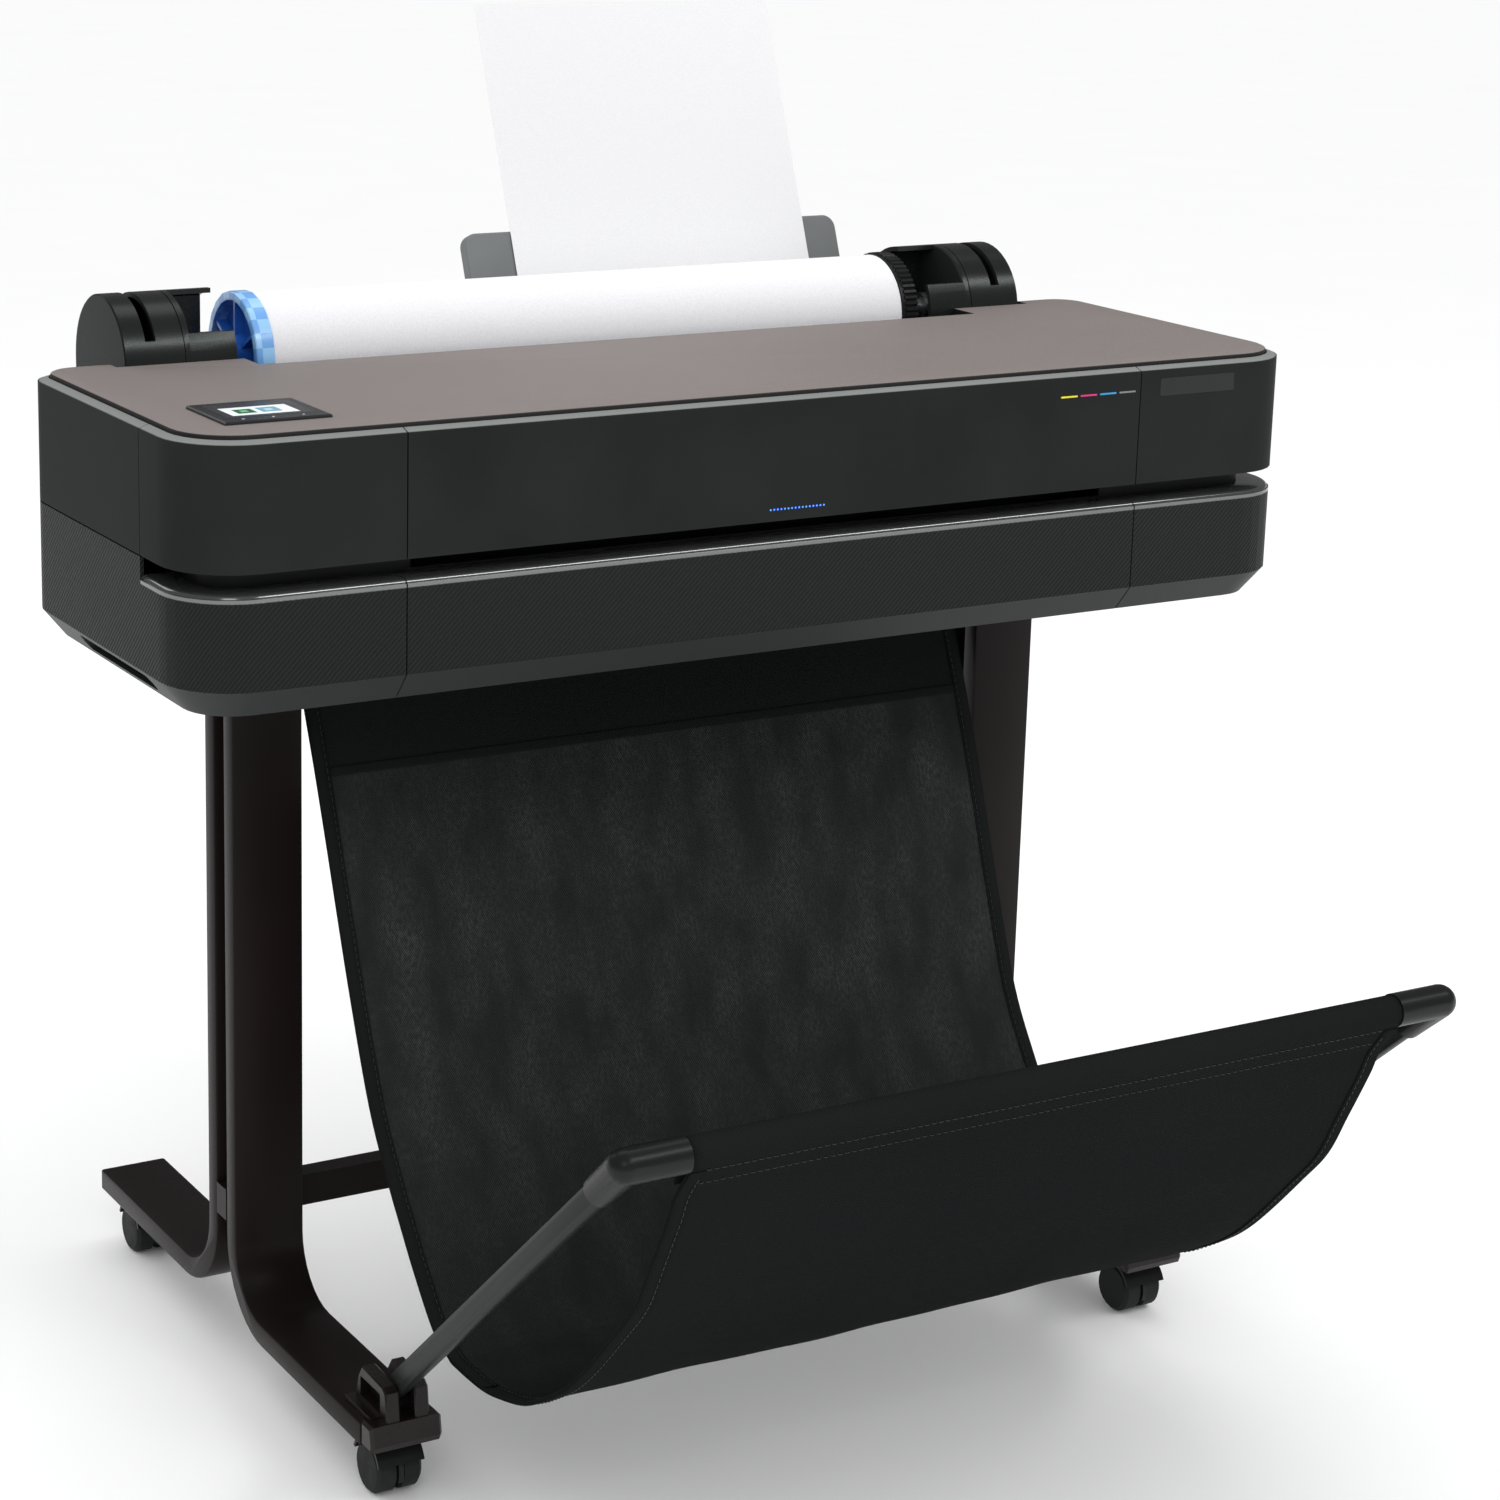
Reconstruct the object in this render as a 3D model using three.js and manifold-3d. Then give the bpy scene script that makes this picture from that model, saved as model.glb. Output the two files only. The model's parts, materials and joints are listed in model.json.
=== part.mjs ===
// Large format plotter on a wheeled stand: body shells, open roll feed, sheet feeder and fabric bin.
// Millimetres, +X to the right, +Y to the back, +Z up. Sizes are first given with Y = 0 on the body's
// front face and Z = 0 on the floor; the last lines move the origin under the middle of the object.
import * as THREE from 'three';
import { mergeVertices } from 'three/addons/utils/BufferGeometryUtils.js';
import Module from 'manifold-3d';

const wasm = await Module();
wasm.setup();

// ---------------------------------------------------------------- driving dimensions
const GAP = 0.3;                 // between pieces that touch
const SEAM = 0.6;                // half of a visible seam between covers

// body
const BODY_HALF = 506.5;         // half the width over the covers
const BODY_BACK = 333;           // depth of the covers
const FRONT_R = 57;              // front corner radius
const REAR_R = 35;               // rear corner radius
const RIM_Z = 824;               // lower edge of the top bevel
const RIM_IN = 7.9;              // bevel inset
const RIM_UP = 2.7;              // bevel rise
const UPPER_Z = 729.7;           // lower edge of the upper covers
const SHELF_Z = 714.5;           // top of the ledge under the output slot
const LOWER_Z = 711;             // top of the lower front wall, under the ledge
const SIDE_Z = 728.6;            // top of the lower covers beside the slot
const BASE_Z = 620;              // underside
const CHAMFER_IN = 18;
const CHAMFER_UP = 22;
const WALL = 3;
const SEAM_X = 334;              // seams beside the front door
const SEAM_Y = 93;               // seam between front corner covers and side panels
const RECESS_IN = 28;            // depth of the slot recess
const COVER_TOP = 830.5;         // top face of the textured cover
const COVER_BASE = 823;
const COVER_IN = 9.6;            // cover edge, from the outline
const NOTCH_Y = 275;             // rear edge of the cover in front of the roll
const NOTCH_LEFT = -331;
const NOTCH_RIGHT = 360;
const END_Y = 306.7;             // rear edge of the cover in front of the holders
const BAY_HALF = 442;            // half the width of the roll bay
const BAY_BACK = 446;
const BAY_FLOOR = 760;           // top face of the bay's floor
const BAY_BASE = 684;
const PAPER_SLOT_HALF = 318;

// roll
const ROLL_Y = 364;
const ROLL_Z = 824;
const ROLL_R = 50;
const ROLL_CORE_R = 26;
const ROLL_LEFT = -301;
const ROLL_RIGHT = 309;
const FLANGE_R = 52;
const SHAFT_R = 8;
const HOLDER_R = 56;
const HOLDER_WALL = 4;
const HOLDER_IN = 336;           // inner end of the low arm
const HOLDER_CAP = 374;          // where the full cap begins
const HOLDER_OUT = 432;
const HOLDER_SLOT = { x0: 404, x1: 413, deep: 12 };   // ring slot in the cap
const HOLDER_SEAM = { x0: 380, x1: 381, deep: 0.8 };
const HOLDER_WEB = { y0: 22, y1: 26 };                // upright web behind the spindle
const ARM_TOP = ROLL_Z + 28;     // upper edge of the low front arm
const SPINDLE_HALF = 400;
const COLLAR = { in: 360, out: 370, r: 13 };
const FLANGE_RIM = 16;           // width of each flange's rim
const FLANGE_HUB = 45;           // how far each flange reaches into the core
const FLANGE_NECK_R = 17;

// sheet feeder
const SHEET_LEAN = THREE.MathUtils.degToRad(21.26);
const SHEET_FOOT = { y: 424, z: 765.5 };
const SHEET_LEFT = -3;
const SHEET_RIGHT = 302;
const SHEET_LENGTH = 348;
const SHEET_T = 0.5;
const TRAY_LEFT = -49;
const TRAY_RIGHT = 338;
const TRAY_LENGTH = 141;
const TRAY_T = 12;

// stand
const LEG_X = 357.3;             // middle of each leg
const LEG_HALF = 30.7;           // half the width of the flat tubes
const TUBE_T = 18;               // thickness of the flat tubes
const TUBE_WALL = 1.6;
const FRONT_POST_Y = 204;        // front face of the front post
const REAR_POST_Y = 242;
const FOOT_Z = 47;
const BEND_IN = 52;              // inner bend radius
const FRONT_FOOT_Y = -36;
const REAR_FOOT_Y = 510;
const BRACE_Z = 130;
const BRACE_H = 27;

// casters
const WHEEL_R = 21;
const WHEEL_HALF = 19;           // half the width of a wheel pair
const AXLE_R = 3;
const WHEEL_FRONT_Y = -24;
const WHEEL_REAR_Y = 472;
const TRAIL = 12;                // from the swivel axis to the axle
const TREAD_SIDES = 24;          // the tread stands on one of its flat sides
const TREAD_EDGE = 3;            // rounding of the tread's outer rims
const WEB_HALF = 2;              // the hood's middle web, between the two wheels
const HOOD_FROM = THREE.MathUtils.degToRad(20);
const HOOD_TO = Math.PI - HOOD_FROM;
const STEM_R = 9;

// fabric bin
const PIVOT = { y: -28, z: 84 }; // hinge of the arms in the foot brackets
const BAR = { y: -375, z: 398.5 };
const BAR_R = 10;
const BAR_HALF = 342;
const ARM_X = 355;
const ARM_HALF_T = 5.5;
const ARM_HALF_W = 9;
const ELBOW_R = 13;
const ROD = { y: 251, z: 603 };  // held between the rear posts
const ROD_R = 7;
const CLOTH_HALF = 308;
const CLOTH_REAR_HALF = 316;
const CLOTH_T = 1.6;
const PIN_R = 3;

// fittings
const PANEL = { x0: -458, x1: -373, y0: 46, y1: 120, rise: 2.4 };
const GLASS = { x0: -450, x1: -380, y0: 60, y1: 112 };
const INLET = { x: -262, z: 655, w: 48.6, h: 30.6 };
const GRIP = { y0: 91, y1: 235, z0: 624.5, z1: 637.5, in: 26.5, wall: 3.5 };

// mechanism inside
const TUB_FLOOR = BASE_Z + WALL + GAP;
const CHASSIS_LEFT = -470;
const CHASSIS_RIGHT = 338;
const PLATE_T = 3;
const DRIVE_LEFT = CHASSIS_LEFT + PLATE_T + GAP;
const DRIVE_RIGHT = CHASSIS_RIGHT - GAP;
const GUIDE = { y: 150, z: 776, r: 6 };
const FEED = { y: 196, z: 712, r: 10 };
const SHAFT_END_R = 5;
const BELT_Z = 760;

// ---------------------------------------------------------------- helpers
const FULL = Math.PI * 2;
const V2 = (x, y) => new THREE.Vector2(x, y);

function solid(geometry) {
  const bare = geometry.clone();
  for (const name of ['normal', 'uv']) bare.deleteAttribute(name);
  const merged = mergeVertices(bare, 1e-4);
  return new wasm.Manifold(new wasm.Mesh({
    numProp: 3,
    vertProperties: new Float32Array(merged.attributes.position.array),
    triVerts: new Uint32Array(merged.index.array),
  }));
}

function geometryOf(body) {
  const mesh = body.getMesh();
  const geometry = new THREE.BufferGeometry();
  geometry.setAttribute('position', new THREE.BufferAttribute(new Float32Array(mesh.vertProperties), 3));
  geometry.setIndex(new THREE.BufferAttribute(new Uint32Array(mesh.triVerts), 1));
  geometry.computeVertexNormals();
  return geometry;
}

const join = (first, ...rest) => rest.reduce((sum, body) => sum.add(body), first);
const cut = (first, ...rest) => rest.reduce((sum, body) => sum.subtract(body), first);

function box(x0, x1, y0, y1, z0, z1) {
  const geometry = new THREE.BoxGeometry(Math.abs(x1 - x0), y1 - y0, z1 - z0);
  return solid(geometry.translate((x0 + x1) / 2, (y0 + y1) / 2, (z0 + z1) / 2));
}

function cylinderX(x0, x1, y, z, radius, sides = 24) {
  const geometry = new THREE.CylinderGeometry(radius, radius, Math.abs(x1 - x0), sides);
  return solid(geometry.rotateZ(Math.PI / 2).translate((x0 + x1) / 2, y, z));
}

function cylinderZ(x, y, z0, z1, radius, sides = 20) {
  const geometry = new THREE.CylinderGeometry(radius, radius, z1 - z0, sides);
  return solid(geometry.rotateX(Math.PI / 2).translate(x, y, (z0 + z1) / 2));
}

function shapeOf(points, hole) {
  const shape = new THREE.Shape(points);
  if (hole) shape.holes.push(new THREE.Path(hole));
  return shape;
}

function circlePoints(y, z, radius, sides = 24) {
  return Array.from({ length: sides }, (_, i) => V2(
    y + radius * Math.cos(FULL * i / sides), z + radius * Math.sin(FULL * i / sides)));
}

function arcPoints(y, z, radius, from, to, steps) {
  return Array.from({ length: steps + 1 }, (_, i) => {
    const a = from + (to - from) * i / steps;
    return V2(y + radius * Math.cos(a), z + radius * Math.sin(a));
  });
}

// A shape drawn in Y and Z, carried along X; edge rounds its two rims.
function alongX(shape, x0, x1, edge = 0, segments = 1) {
  const low = Math.min(x0, x1);
  const geometry = new THREE.ExtrudeGeometry(shape, {
    depth: Math.abs(x1 - x0) - 2 * edge, curveSegments: 8, bevelEnabled: edge > 0,
    bevelThickness: edge, bevelSize: edge, bevelOffset: -edge, bevelSegments: segments,
  });
  const axes = new THREE.Matrix4().makeBasis(
    new THREE.Vector3(0, 1, 0), new THREE.Vector3(0, 0, 1), new THREE.Vector3(1, 0, 0));
  return solid(geometry.applyMatrix4(axes).translate(low + edge, 0, 0));
}

// A shape drawn in X and Y, carried up Z; rise and size bevel its top and bottom rims.
function alongZ(shape, z0, z1, size = 0, rise = 0, segments = 1) {
  const geometry = new THREE.ExtrudeGeometry(shape, {
    depth: z1 - z0 - 2 * rise, curveSegments: 4, bevelEnabled: size > 0,
    bevelThickness: rise, bevelSize: size, bevelOffset: -size, bevelSegments: segments,
  });
  return solid(geometry.translate(0, 0, z0 + rise));
}

// The body's outline seen from above, drawn smaller by inset.
function outline(inset = 0) {
  const x = BODY_HALF - inset;
  const y0 = inset;
  const y1 = BODY_BACK - inset;
  const rf = Math.max(FRONT_R - inset, 2);
  const rr = Math.max(REAR_R - inset, 2);
  const shape = new THREE.Shape();
  shape.moveTo(-x + rf, y0);
  shape.lineTo(x - rf, y0);
  shape.absarc(x - rf, y0 + rf, rf, -Math.PI / 2, 0, false);
  shape.lineTo(x, y1 - rr);
  shape.absarc(x - rr, y1 - rr, rr, 0, Math.PI / 2, false);
  shape.lineTo(-x + rr, y1);
  shape.absarc(-x + rr, y1 - rr, rr, Math.PI / 2, Math.PI, false);
  shape.lineTo(-x, y0 + rf);
  shape.absarc(-x + rf, y0 + rf, rf, Math.PI, Math.PI * 1.5, false);
  return shape;
}

const FAR = 600;                 // beyond every side of the body
const sideBox = (side, from, y0, y1, z0, z1) => box(side * from, side * FAR, y0, y1, z0, z1);

const group = new THREE.Group();
const FINISHES = {
  cover: [0x2d302f, 0.6, 0], lower: [0x2b2e2d, 0.55, 0], top: [0x9b9694, 0.55, 0.1],
  gloss: [0x101111, 0.15, 0], screen: [0x0c0d0e, 0.08, 0], inner: [0x1a1b1b, 0.7, 0],
  leg: [0x3a3635, 0.45, 0.4], bracket: [0x1d1918, 0.4, 0], black: [0x151616, 0.5, 0],
  tube: [0x3a3e3d, 0.45, 0.3], cloth: [0x222423, 0.95, 0], paper: [0xf0f0f2, 0.9, 0],
  blue: [0x3f86d0, 0.4, 0], steel: [0x9a9c9e, 0.35, 0.9], tray: [0x64686a, 0.6, 0],
  holder: [0x3d4140, 0.35, 0.1], rubber: [0x222222, 0.9, 0], board: [0x2c5a3a, 0.6, 0],
};

function add(name, body, finish) {
  const [color, roughness, metalness] = FINISHES[finish];
  const material = new THREE.MeshStandardMaterial({ color, roughness, metalness });
  const mesh = new THREE.Mesh(geometryOf(body), material);
  mesh.name = name;
  group.add(mesh);
}

const SIDES = [['left', -1], ['right', 1]];

// ---------------------------------------------------------------- body covers
// Closed ring of the upper covers with its bevelled rim and the opening for the top cover.
function upperRing() {
  const outside = cut(
    alongZ(outline(), UPPER_Z - RIM_UP, RIM_Z + RIM_UP, RIM_IN, RIM_UP),
    box(-FAR, FAR, -10, FAR, UPPER_Z - 10, UPPER_Z));
  const lipBase = RIM_Z - 4;
  return cut(outside,
    alongZ(outline(WALL), UPPER_Z - 1, lipBase),
    alongZ(outline(RIM_IN + 0.5), lipBase - 1, RIM_Z + 10));
}

function addUpperCovers() {
  const ring = upperRing();
  const high = RIM_Z + 20;
  const low = UPPER_Z - 20;
  for (const [side, s] of SIDES) {
    add(`upper_cover_${side}`, ring.intersect(
      sideBox(s, SEAM_X + SEAM, -10, SEAM_Y - SEAM, low, high)), 'cover');
    add(`side_panel_${side}`, ring.intersect(
      sideBox(s, BAY_HALF + 1, SEAM_Y + SEAM, FAR, low, high)), 'cover');
  }
  const doorHalf = SEAM_X - SEAM;
  add('front_door', ring.intersect(box(-doorHalf, doorHalf, -10, SEAM_Y, low, high)), 'cover');
}

// Textured lid with the notch that clears the roll, the seat of the touch panel and a hollow underside.
function addTopCover() {
  const skin = 3;
  const plate = alongZ(outline(COVER_IN), COVER_BASE - 10, COVER_TOP, 2.5, 2.5, 2);
  const slab = plate.intersect(box(-FAR, FAR, -10, FAR, COVER_BASE, COVER_TOP + 5));
  const pocket = alongZ(outline(COVER_IN + 8), COVER_BASE - 1, COVER_TOP - skin);
  const backRib = box(-FAR, FAR, NOTCH_Y - 8, FAR, COVER_BASE - 2, COVER_TOP);
  const rear = box(-FAR, FAR, END_Y, FAR, COVER_BASE - 5, COVER_TOP + 5);
  const clearSides = SIDES.map(([, s]) => sideBox(s, BAY_HALF - 2, END_Y - 1, FAR, 0, COVER_TOP + 9));
  const notch = box(NOTCH_LEFT, NOTCH_RIGHT, NOTCH_Y, FAR, COVER_BASE - 5, COVER_TOP + 5);
  const seat = box(PANEL.x0 - GAP, PANEL.x1 + GAP, PANEL.y0 - GAP, PANEL.y1 + GAP,
    COVER_TOP - 2, COVER_TOP + 5);
  add('top_cover', cut(slab, cut(pocket, backRib), cut(rear, ...clearSides), notch, seat), 'top');
}

function addTouchPanel() {
  const base = COVER_TOP - 2 + GAP;
  const top = COVER_TOP + PANEL.rise;
  const depth = 1.5;
  const corners = [
    V2(PANEL.x0, PANEL.y0), V2(PANEL.x1, PANEL.y0), V2(PANEL.x1, PANEL.y1), V2(PANEL.x0, PANEL.y1),
  ];
  const frame = alongZ(shapeOf(corners), base, top, 1, 1).intersect(box(-FAR, 0, 0, FAR, base + 0.8, top));
  const seat = box(GLASS.x0 - GAP, GLASS.x1 + GAP, GLASS.y0 - GAP, GLASS.y1 + GAP, top - depth, top + 5);
  add('touch_panel', cut(frame, seat), 'gloss');
  add('touch_display', box(GLASS.x0, GLASS.x1, GLASS.y0, GLASS.y1, top - depth + GAP, top + 0.1), 'screen');
}

// Lower covers: chamfered tub with a lowered front and the rounded ledge under the output slot.
function lowerShell() {
  const outside = alongZ(outline(), BASE_Z, SIDE_Z + CHAMFER_UP, CHAMFER_IN, CHAMFER_UP)
    .intersect(box(-FAR, FAR, -10, FAR, BASE_Z, SIDE_Z));
  const inside = alongZ(outline(WALL), BASE_Z + WALL, SIDE_Z + 2 * CHAMFER_UP, CHAMFER_IN, CHAMFER_UP);
  const ledge = cut(
    alongZ(outline(1.2), LOWER_Z - 14, SHELF_Z, 4, 4, 3)
      .intersect(box(-FAR, FAR, -10, SEAM_Y, LOWER_Z - 5, SHELF_Z + 5)),
    alongZ(outline(RECESS_IN - 0.5), LOWER_Z - 20, SHELF_Z + 20));
  return join(cut(outside, inside, box(-FAR, FAR, -10, SEAM_Y, LOWER_Z, SIDE_Z + 10)), ledge);
}

// Outline of the finger grip on the chamfer, with round ends, drawn larger by grow.
function gripShape(grow) {
  const r = (GRIP.z1 - GRIP.z0) / 2 + grow;
  const z = (GRIP.z0 + GRIP.z1) / 2;
  const inset = r - grow;
  return shapeOf([
    ...arcPoints(GRIP.y1 - inset, z, r, -Math.PI / 2, Math.PI / 2, 8),
    ...arcPoints(GRIP.y0 + inset, z, r, Math.PI / 2, Math.PI * 1.5, 8),
  ]);
}

function addLowerCovers() {
  const shell = lowerShell();
  const high = SIDE_Z + 20;
  const middle = SEAM_X - SEAM;
  const panelBack = 42;
  for (const [side, s] of SIDES) {
    const pocket = alongX(gripShape(0), s * (BODY_HALF - GRIP.in), s * FAR);
    const block = alongX(gripShape(GRIP.wall), s * (BODY_HALF - GRIP.in - GRIP.wall), s * BODY_HALF)
      .intersect(alongZ(outline(), BASE_Z, SIDE_Z + CHAMFER_UP, CHAMFER_IN, CHAMFER_UP));
    const half = shell.intersect(sideBox(s, SEAM_X + SEAM, -10, FAR, BASE_Z - 10, high));
    add(`lower_cover_${side}`, cut(join(half, block), pocket), 'lower');
  }
  add('lower_panel', shell.intersect(box(-middle, middle, -10, panelBack, BASE_Z - 10, high)), 'lower');
  const inlet = box(INLET.x - INLET.w / 2, INLET.x + INLET.w / 2, BODY_BACK - 10, BODY_BACK + 5,
    INLET.z - INLET.h / 2, INLET.z + INLET.h / 2);
  const tray = shell.intersect(box(-middle, middle, panelBack + 2 * SEAM, FAR, BASE_Z - 10, high));
  add('base_tray', cut(tray, inlet), 'inner');
}

function addPowerInlet() {
  const y0 = BODY_BACK - 28;
  const w = INLET.w / 2 - GAP;
  const h = INLET.h / 2 - GAP;
  const block = box(INLET.x - w, INLET.x + w, y0, BODY_BACK + 1.5, INLET.z - h, INLET.z + h);
  const socket = box(INLET.x - 13, INLET.x + 13, BODY_BACK - 16, BODY_BACK + 5, INLET.z - 9, INLET.z + 9);
  const blades = [-7, 0, 7].map((dx, i) => {
    const z = INLET.z + (i === 1 ? 4 : -2);
    return box(INLET.x + dx - 1, INLET.x + dx + 1, BODY_BACK - 17, BODY_BACK - 4, z - 2.5, z + 2.5);
  });
  add('power_inlet', join(cut(block, socket), ...blades), 'black');
}

// Dark inner frame behind the output slot; paper leaves through its long opening.
function addSlotFrame() {
  const ring = cut(
    alongZ(outline(RECESS_IN), LOWER_Z - 8, UPPER_Z + 16),
    alongZ(outline(RECESS_IN + WALL), LOWER_Z - 9, UPPER_Z + 17),
    box(-FAR, FAR, SEAM_Y - 1, FAR, 0, 1000));
  const slot = box(-PAPER_SLOT_HALF, PAPER_SLOT_HALF, 0, 60, SHELF_Z + 1.5, UPPER_Z - 1.5);
  add('slot_frame', cut(ring, slot), 'inner');
}

// Bay behind the body that carries the roll holders, with the paper entry slots.
function addRollBay() {
  const floorBase = BAY_FLOOR - 4;
  const block = cut(
    box(-BAY_HALF - 3, BAY_HALF + 3, BODY_BACK + GAP, BAY_BACK, BAY_BASE, BAY_FLOOR),
    box(-BAY_HALF, BAY_HALF, BODY_BACK + WALL, BAY_BACK - WALL, BAY_BASE - 5, floorBase));
  const wallTop = COVER_BASE - GAP;
  const wallY = END_Y - 3;
  const walls = [
    box(-BAY_HALF, BAY_HALF, NOTCH_Y + 1, BODY_BACK + 5, floorBase, BAY_FLOOR),
    box(NOTCH_LEFT - 3, NOTCH_RIGHT + 3, NOTCH_Y + 1, NOTCH_Y + 4, floorBase, wallTop),
    box(NOTCH_LEFT - 3, NOTCH_LEFT, NOTCH_Y + 1, END_Y, floorBase, wallTop),
    box(NOTCH_RIGHT, NOTCH_RIGHT + 3, NOTCH_Y + 1, END_Y, floorBase, wallTop),
    box(-BAY_HALF, NOTCH_LEFT, wallY, END_Y, floorBase, wallTop),
    box(NOTCH_RIGHT, BAY_HALF, wallY, END_Y, floorBase, wallTop),
    box(-BAY_HALF - 3, BAY_HALF + 3, BAY_BACK - WALL, BAY_BACK, BAY_FLOOR - 1, BAY_FLOOR + 16),
  ];
  const ends = SIDES.map(([, s]) => box(s * BAY_HALF, s * (BAY_HALF + 3), BODY_BACK + GAP, BAY_BACK,
    BAY_FLOOR - 1, BAY_FLOOR + 16));
  const rollEntry = box(-312, 314, NOTCH_Y - 5, NOTCH_Y + 10, 790, 800);
  const sheetEntry = box(SHEET_LEFT - 12, SHEET_RIGHT + 12, 410, 424, floorBase - 5, BAY_FLOOR + 5);
  add('roll_bay', cut(join(block, ...walls, ...ends), rollEntry, sheetEntry), 'inner');
}

// ---------------------------------------------------------------- roll and its holders
// Rounded D section of a holder, drawn smaller by inset.
function holderShape(inset) {
  const r = HOLDER_R - inset;
  const base = BAY_FLOOR + GAP + inset;
  return shapeOf([
    V2(ROLL_Y - r, base), V2(ROLL_Y + r, base),
    ...arcPoints(ROLL_Y, ROLL_Z, r, 0, Math.PI, 24),
  ]);
}

function addHolders() {
  for (const [side, s] of SIDES) {
    const X = (a, b) => [s * a, s * b];
    const shell = (x0, x1) => cut(
      alongX(holderShape(0), ...X(x0, x1)), alongX(holderShape(HOLDER_WALL), ...X(x0 - 1, x1 + 1)));
    const cap = cut(
      alongX(holderShape(0), ...X(HOLDER_CAP, HOLDER_OUT), 1.2),
      alongX(holderShape(HOLDER_WALL), ...X(HOLDER_CAP + 6, HOLDER_OUT - 3)));
    const seam = cut(
      alongX(holderShape(-2), ...X(HOLDER_SEAM.x0, HOLDER_SEAM.x1)),
      alongX(holderShape(HOLDER_SEAM.deep), ...X(HOLDER_SEAM.x0 - 1, HOLDER_SEAM.x1 + 1)));
    const window = cut(
      box(...X(HOLDER_SLOT.x0, HOLDER_SLOT.x1), ROLL_Y - 70, ROLL_Y + 70, ROLL_Z + 24, ROLL_Z + 70),
      cylinderX(...X(HOLDER_SLOT.x0 - 1, HOLDER_SLOT.x1 + 1), ROLL_Y, ROLL_Z, HOLDER_R - HOLDER_SLOT.deep));
    const armShell = shell(HOLDER_IN, HOLDER_CAP + 3);
    const frontArm = armShell.intersect(box(...X(0, FAR), 0, ROLL_Y, 0, ARM_TOP));
    const rearHalf = armShell.intersect(box(...X(0, FAR), ROLL_Y, FAR, 0, FAR * 2));
    const web = alongX(holderShape(1), ...X(HOLDER_IN, HOLDER_CAP + 3)).intersect(
      box(...X(0, FAR), ROLL_Y + HOLDER_WEB.y0, ROLL_Y + HOLDER_WEB.y1, 0, FAR * 2));
    const journal = cylinderX(...X(HOLDER_CAP - 5, HOLDER_CAP + 10), ROLL_Y, ROLL_Z, SHAFT_R + 0.3, 24);
    add(`roll_holder_${side}`, cut(join(cap, frontArm, rearHalf, web), seam, window, journal), 'holder');
  }
}

// A ring of teeth or facets: radius steps between two values.
function toothedShape(outer, root, teeth) {
  const points = [];
  for (let i = 0; i < teeth; i += 1) {
    for (const [at, radius] of [[0.1, root], [0.4, outer], [0.8, outer]]) {
      const a = FULL * (i + at) / teeth;
      points.push(V2(ROLL_Y + radius * Math.cos(a), ROLL_Z + radius * Math.sin(a)));
    }
  }
  return shapeOf(points);
}

function addRoll() {
  const bore = (x0, x1, r) => cylinderX(x0, x1, ROLL_Y, ROLL_Z, r, 24);
  const shaft = join(
    bore(-SPINDLE_HALF, SPINDLE_HALF, SHAFT_R),
    bore(-COLLAR.out, -COLLAR.in, COLLAR.r), bore(COLLAR.in, COLLAR.out, COLLAR.r));
  add('spindle', shaft, 'steel');
  const hubR = ROLL_CORE_R - GAP;
  const rim = FLANGE_RIM;
  const blueIn = ROLL_LEFT - GAP;
  const blueDish = bore(blueIn - rim - 1, blueIn - 5, FLANGE_R - 7);
  const ribs = Array.from({ length: 6 }, (_, i) => {
    const blade = new THREE.BoxGeometry(rim - 4, 3, FLANGE_R - 4)
      .translate(0, 0, (FLANGE_R - 4) / 2).rotateX(FULL * i / 6).translate(blueIn - rim / 2, ROLL_Y, ROLL_Z);
    return solid(blade);
  });
  const blue = join(
    cut(alongX(shapeOf(circlePoints(ROLL_Y, ROLL_Z, FLANGE_R, 22)), blueIn - rim, blueIn, 0.8), blueDish),
    ...ribs, bore(blueIn - rim - 24, blueIn, FLANGE_NECK_R), bore(blueIn - 1, blueIn + FLANGE_HUB, hubR));
  add('flange_blue', cut(blue, bore(-500, 0, SHAFT_R + GAP)), 'blue');
  const blackIn = ROLL_RIGHT + GAP;
  const black = join(
    alongX(toothedShape(FLANGE_R, FLANGE_R - 2, 60), blackIn + 3, blackIn + rim),
    bore(blackIn, blackIn + 3.5, FLANGE_R - 0.8), bore(blackIn - FLANGE_HUB, blackIn + 1, hubR),
    bore(blackIn + 10, blackIn + rim + 20, FLANGE_NECK_R));
  add('flange_black', cut(black, bore(0, 500, SHAFT_R + GAP),
    cut(bore(blackIn + 6, blackIn + rim + 1, FLANGE_R - 6), bore(0, 500, FLANGE_NECK_R))), 'black');
  const paper = alongX(shapeOf(circlePoints(ROLL_Y, ROLL_Z, ROLL_R, 48),
    circlePoints(ROLL_Y, ROLL_Z, ROLL_CORE_R + 0.2, 48)), ROLL_LEFT, ROLL_RIGHT, 0.4);
  add('paper_roll', paper, 'paper');
}

// ---------------------------------------------------------------- sheet feeder
// A slab that leans back with the feeder: x0..x1 wide, lengths up the slope, depths behind the sheet.
function leaning(x0, x1, up0, up1, back0, back1) {
  const slab = new THREE.BoxGeometry(x1 - x0, back1 - back0, up1 - up0)
    .translate((x0 + x1) / 2, (back0 + back1) / 2, (up0 + up1) / 2)
    .rotateX(-SHEET_LEAN).translate(0, SHEET_FOOT.y, SHEET_FOOT.z);
  return solid(slab);
}

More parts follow.
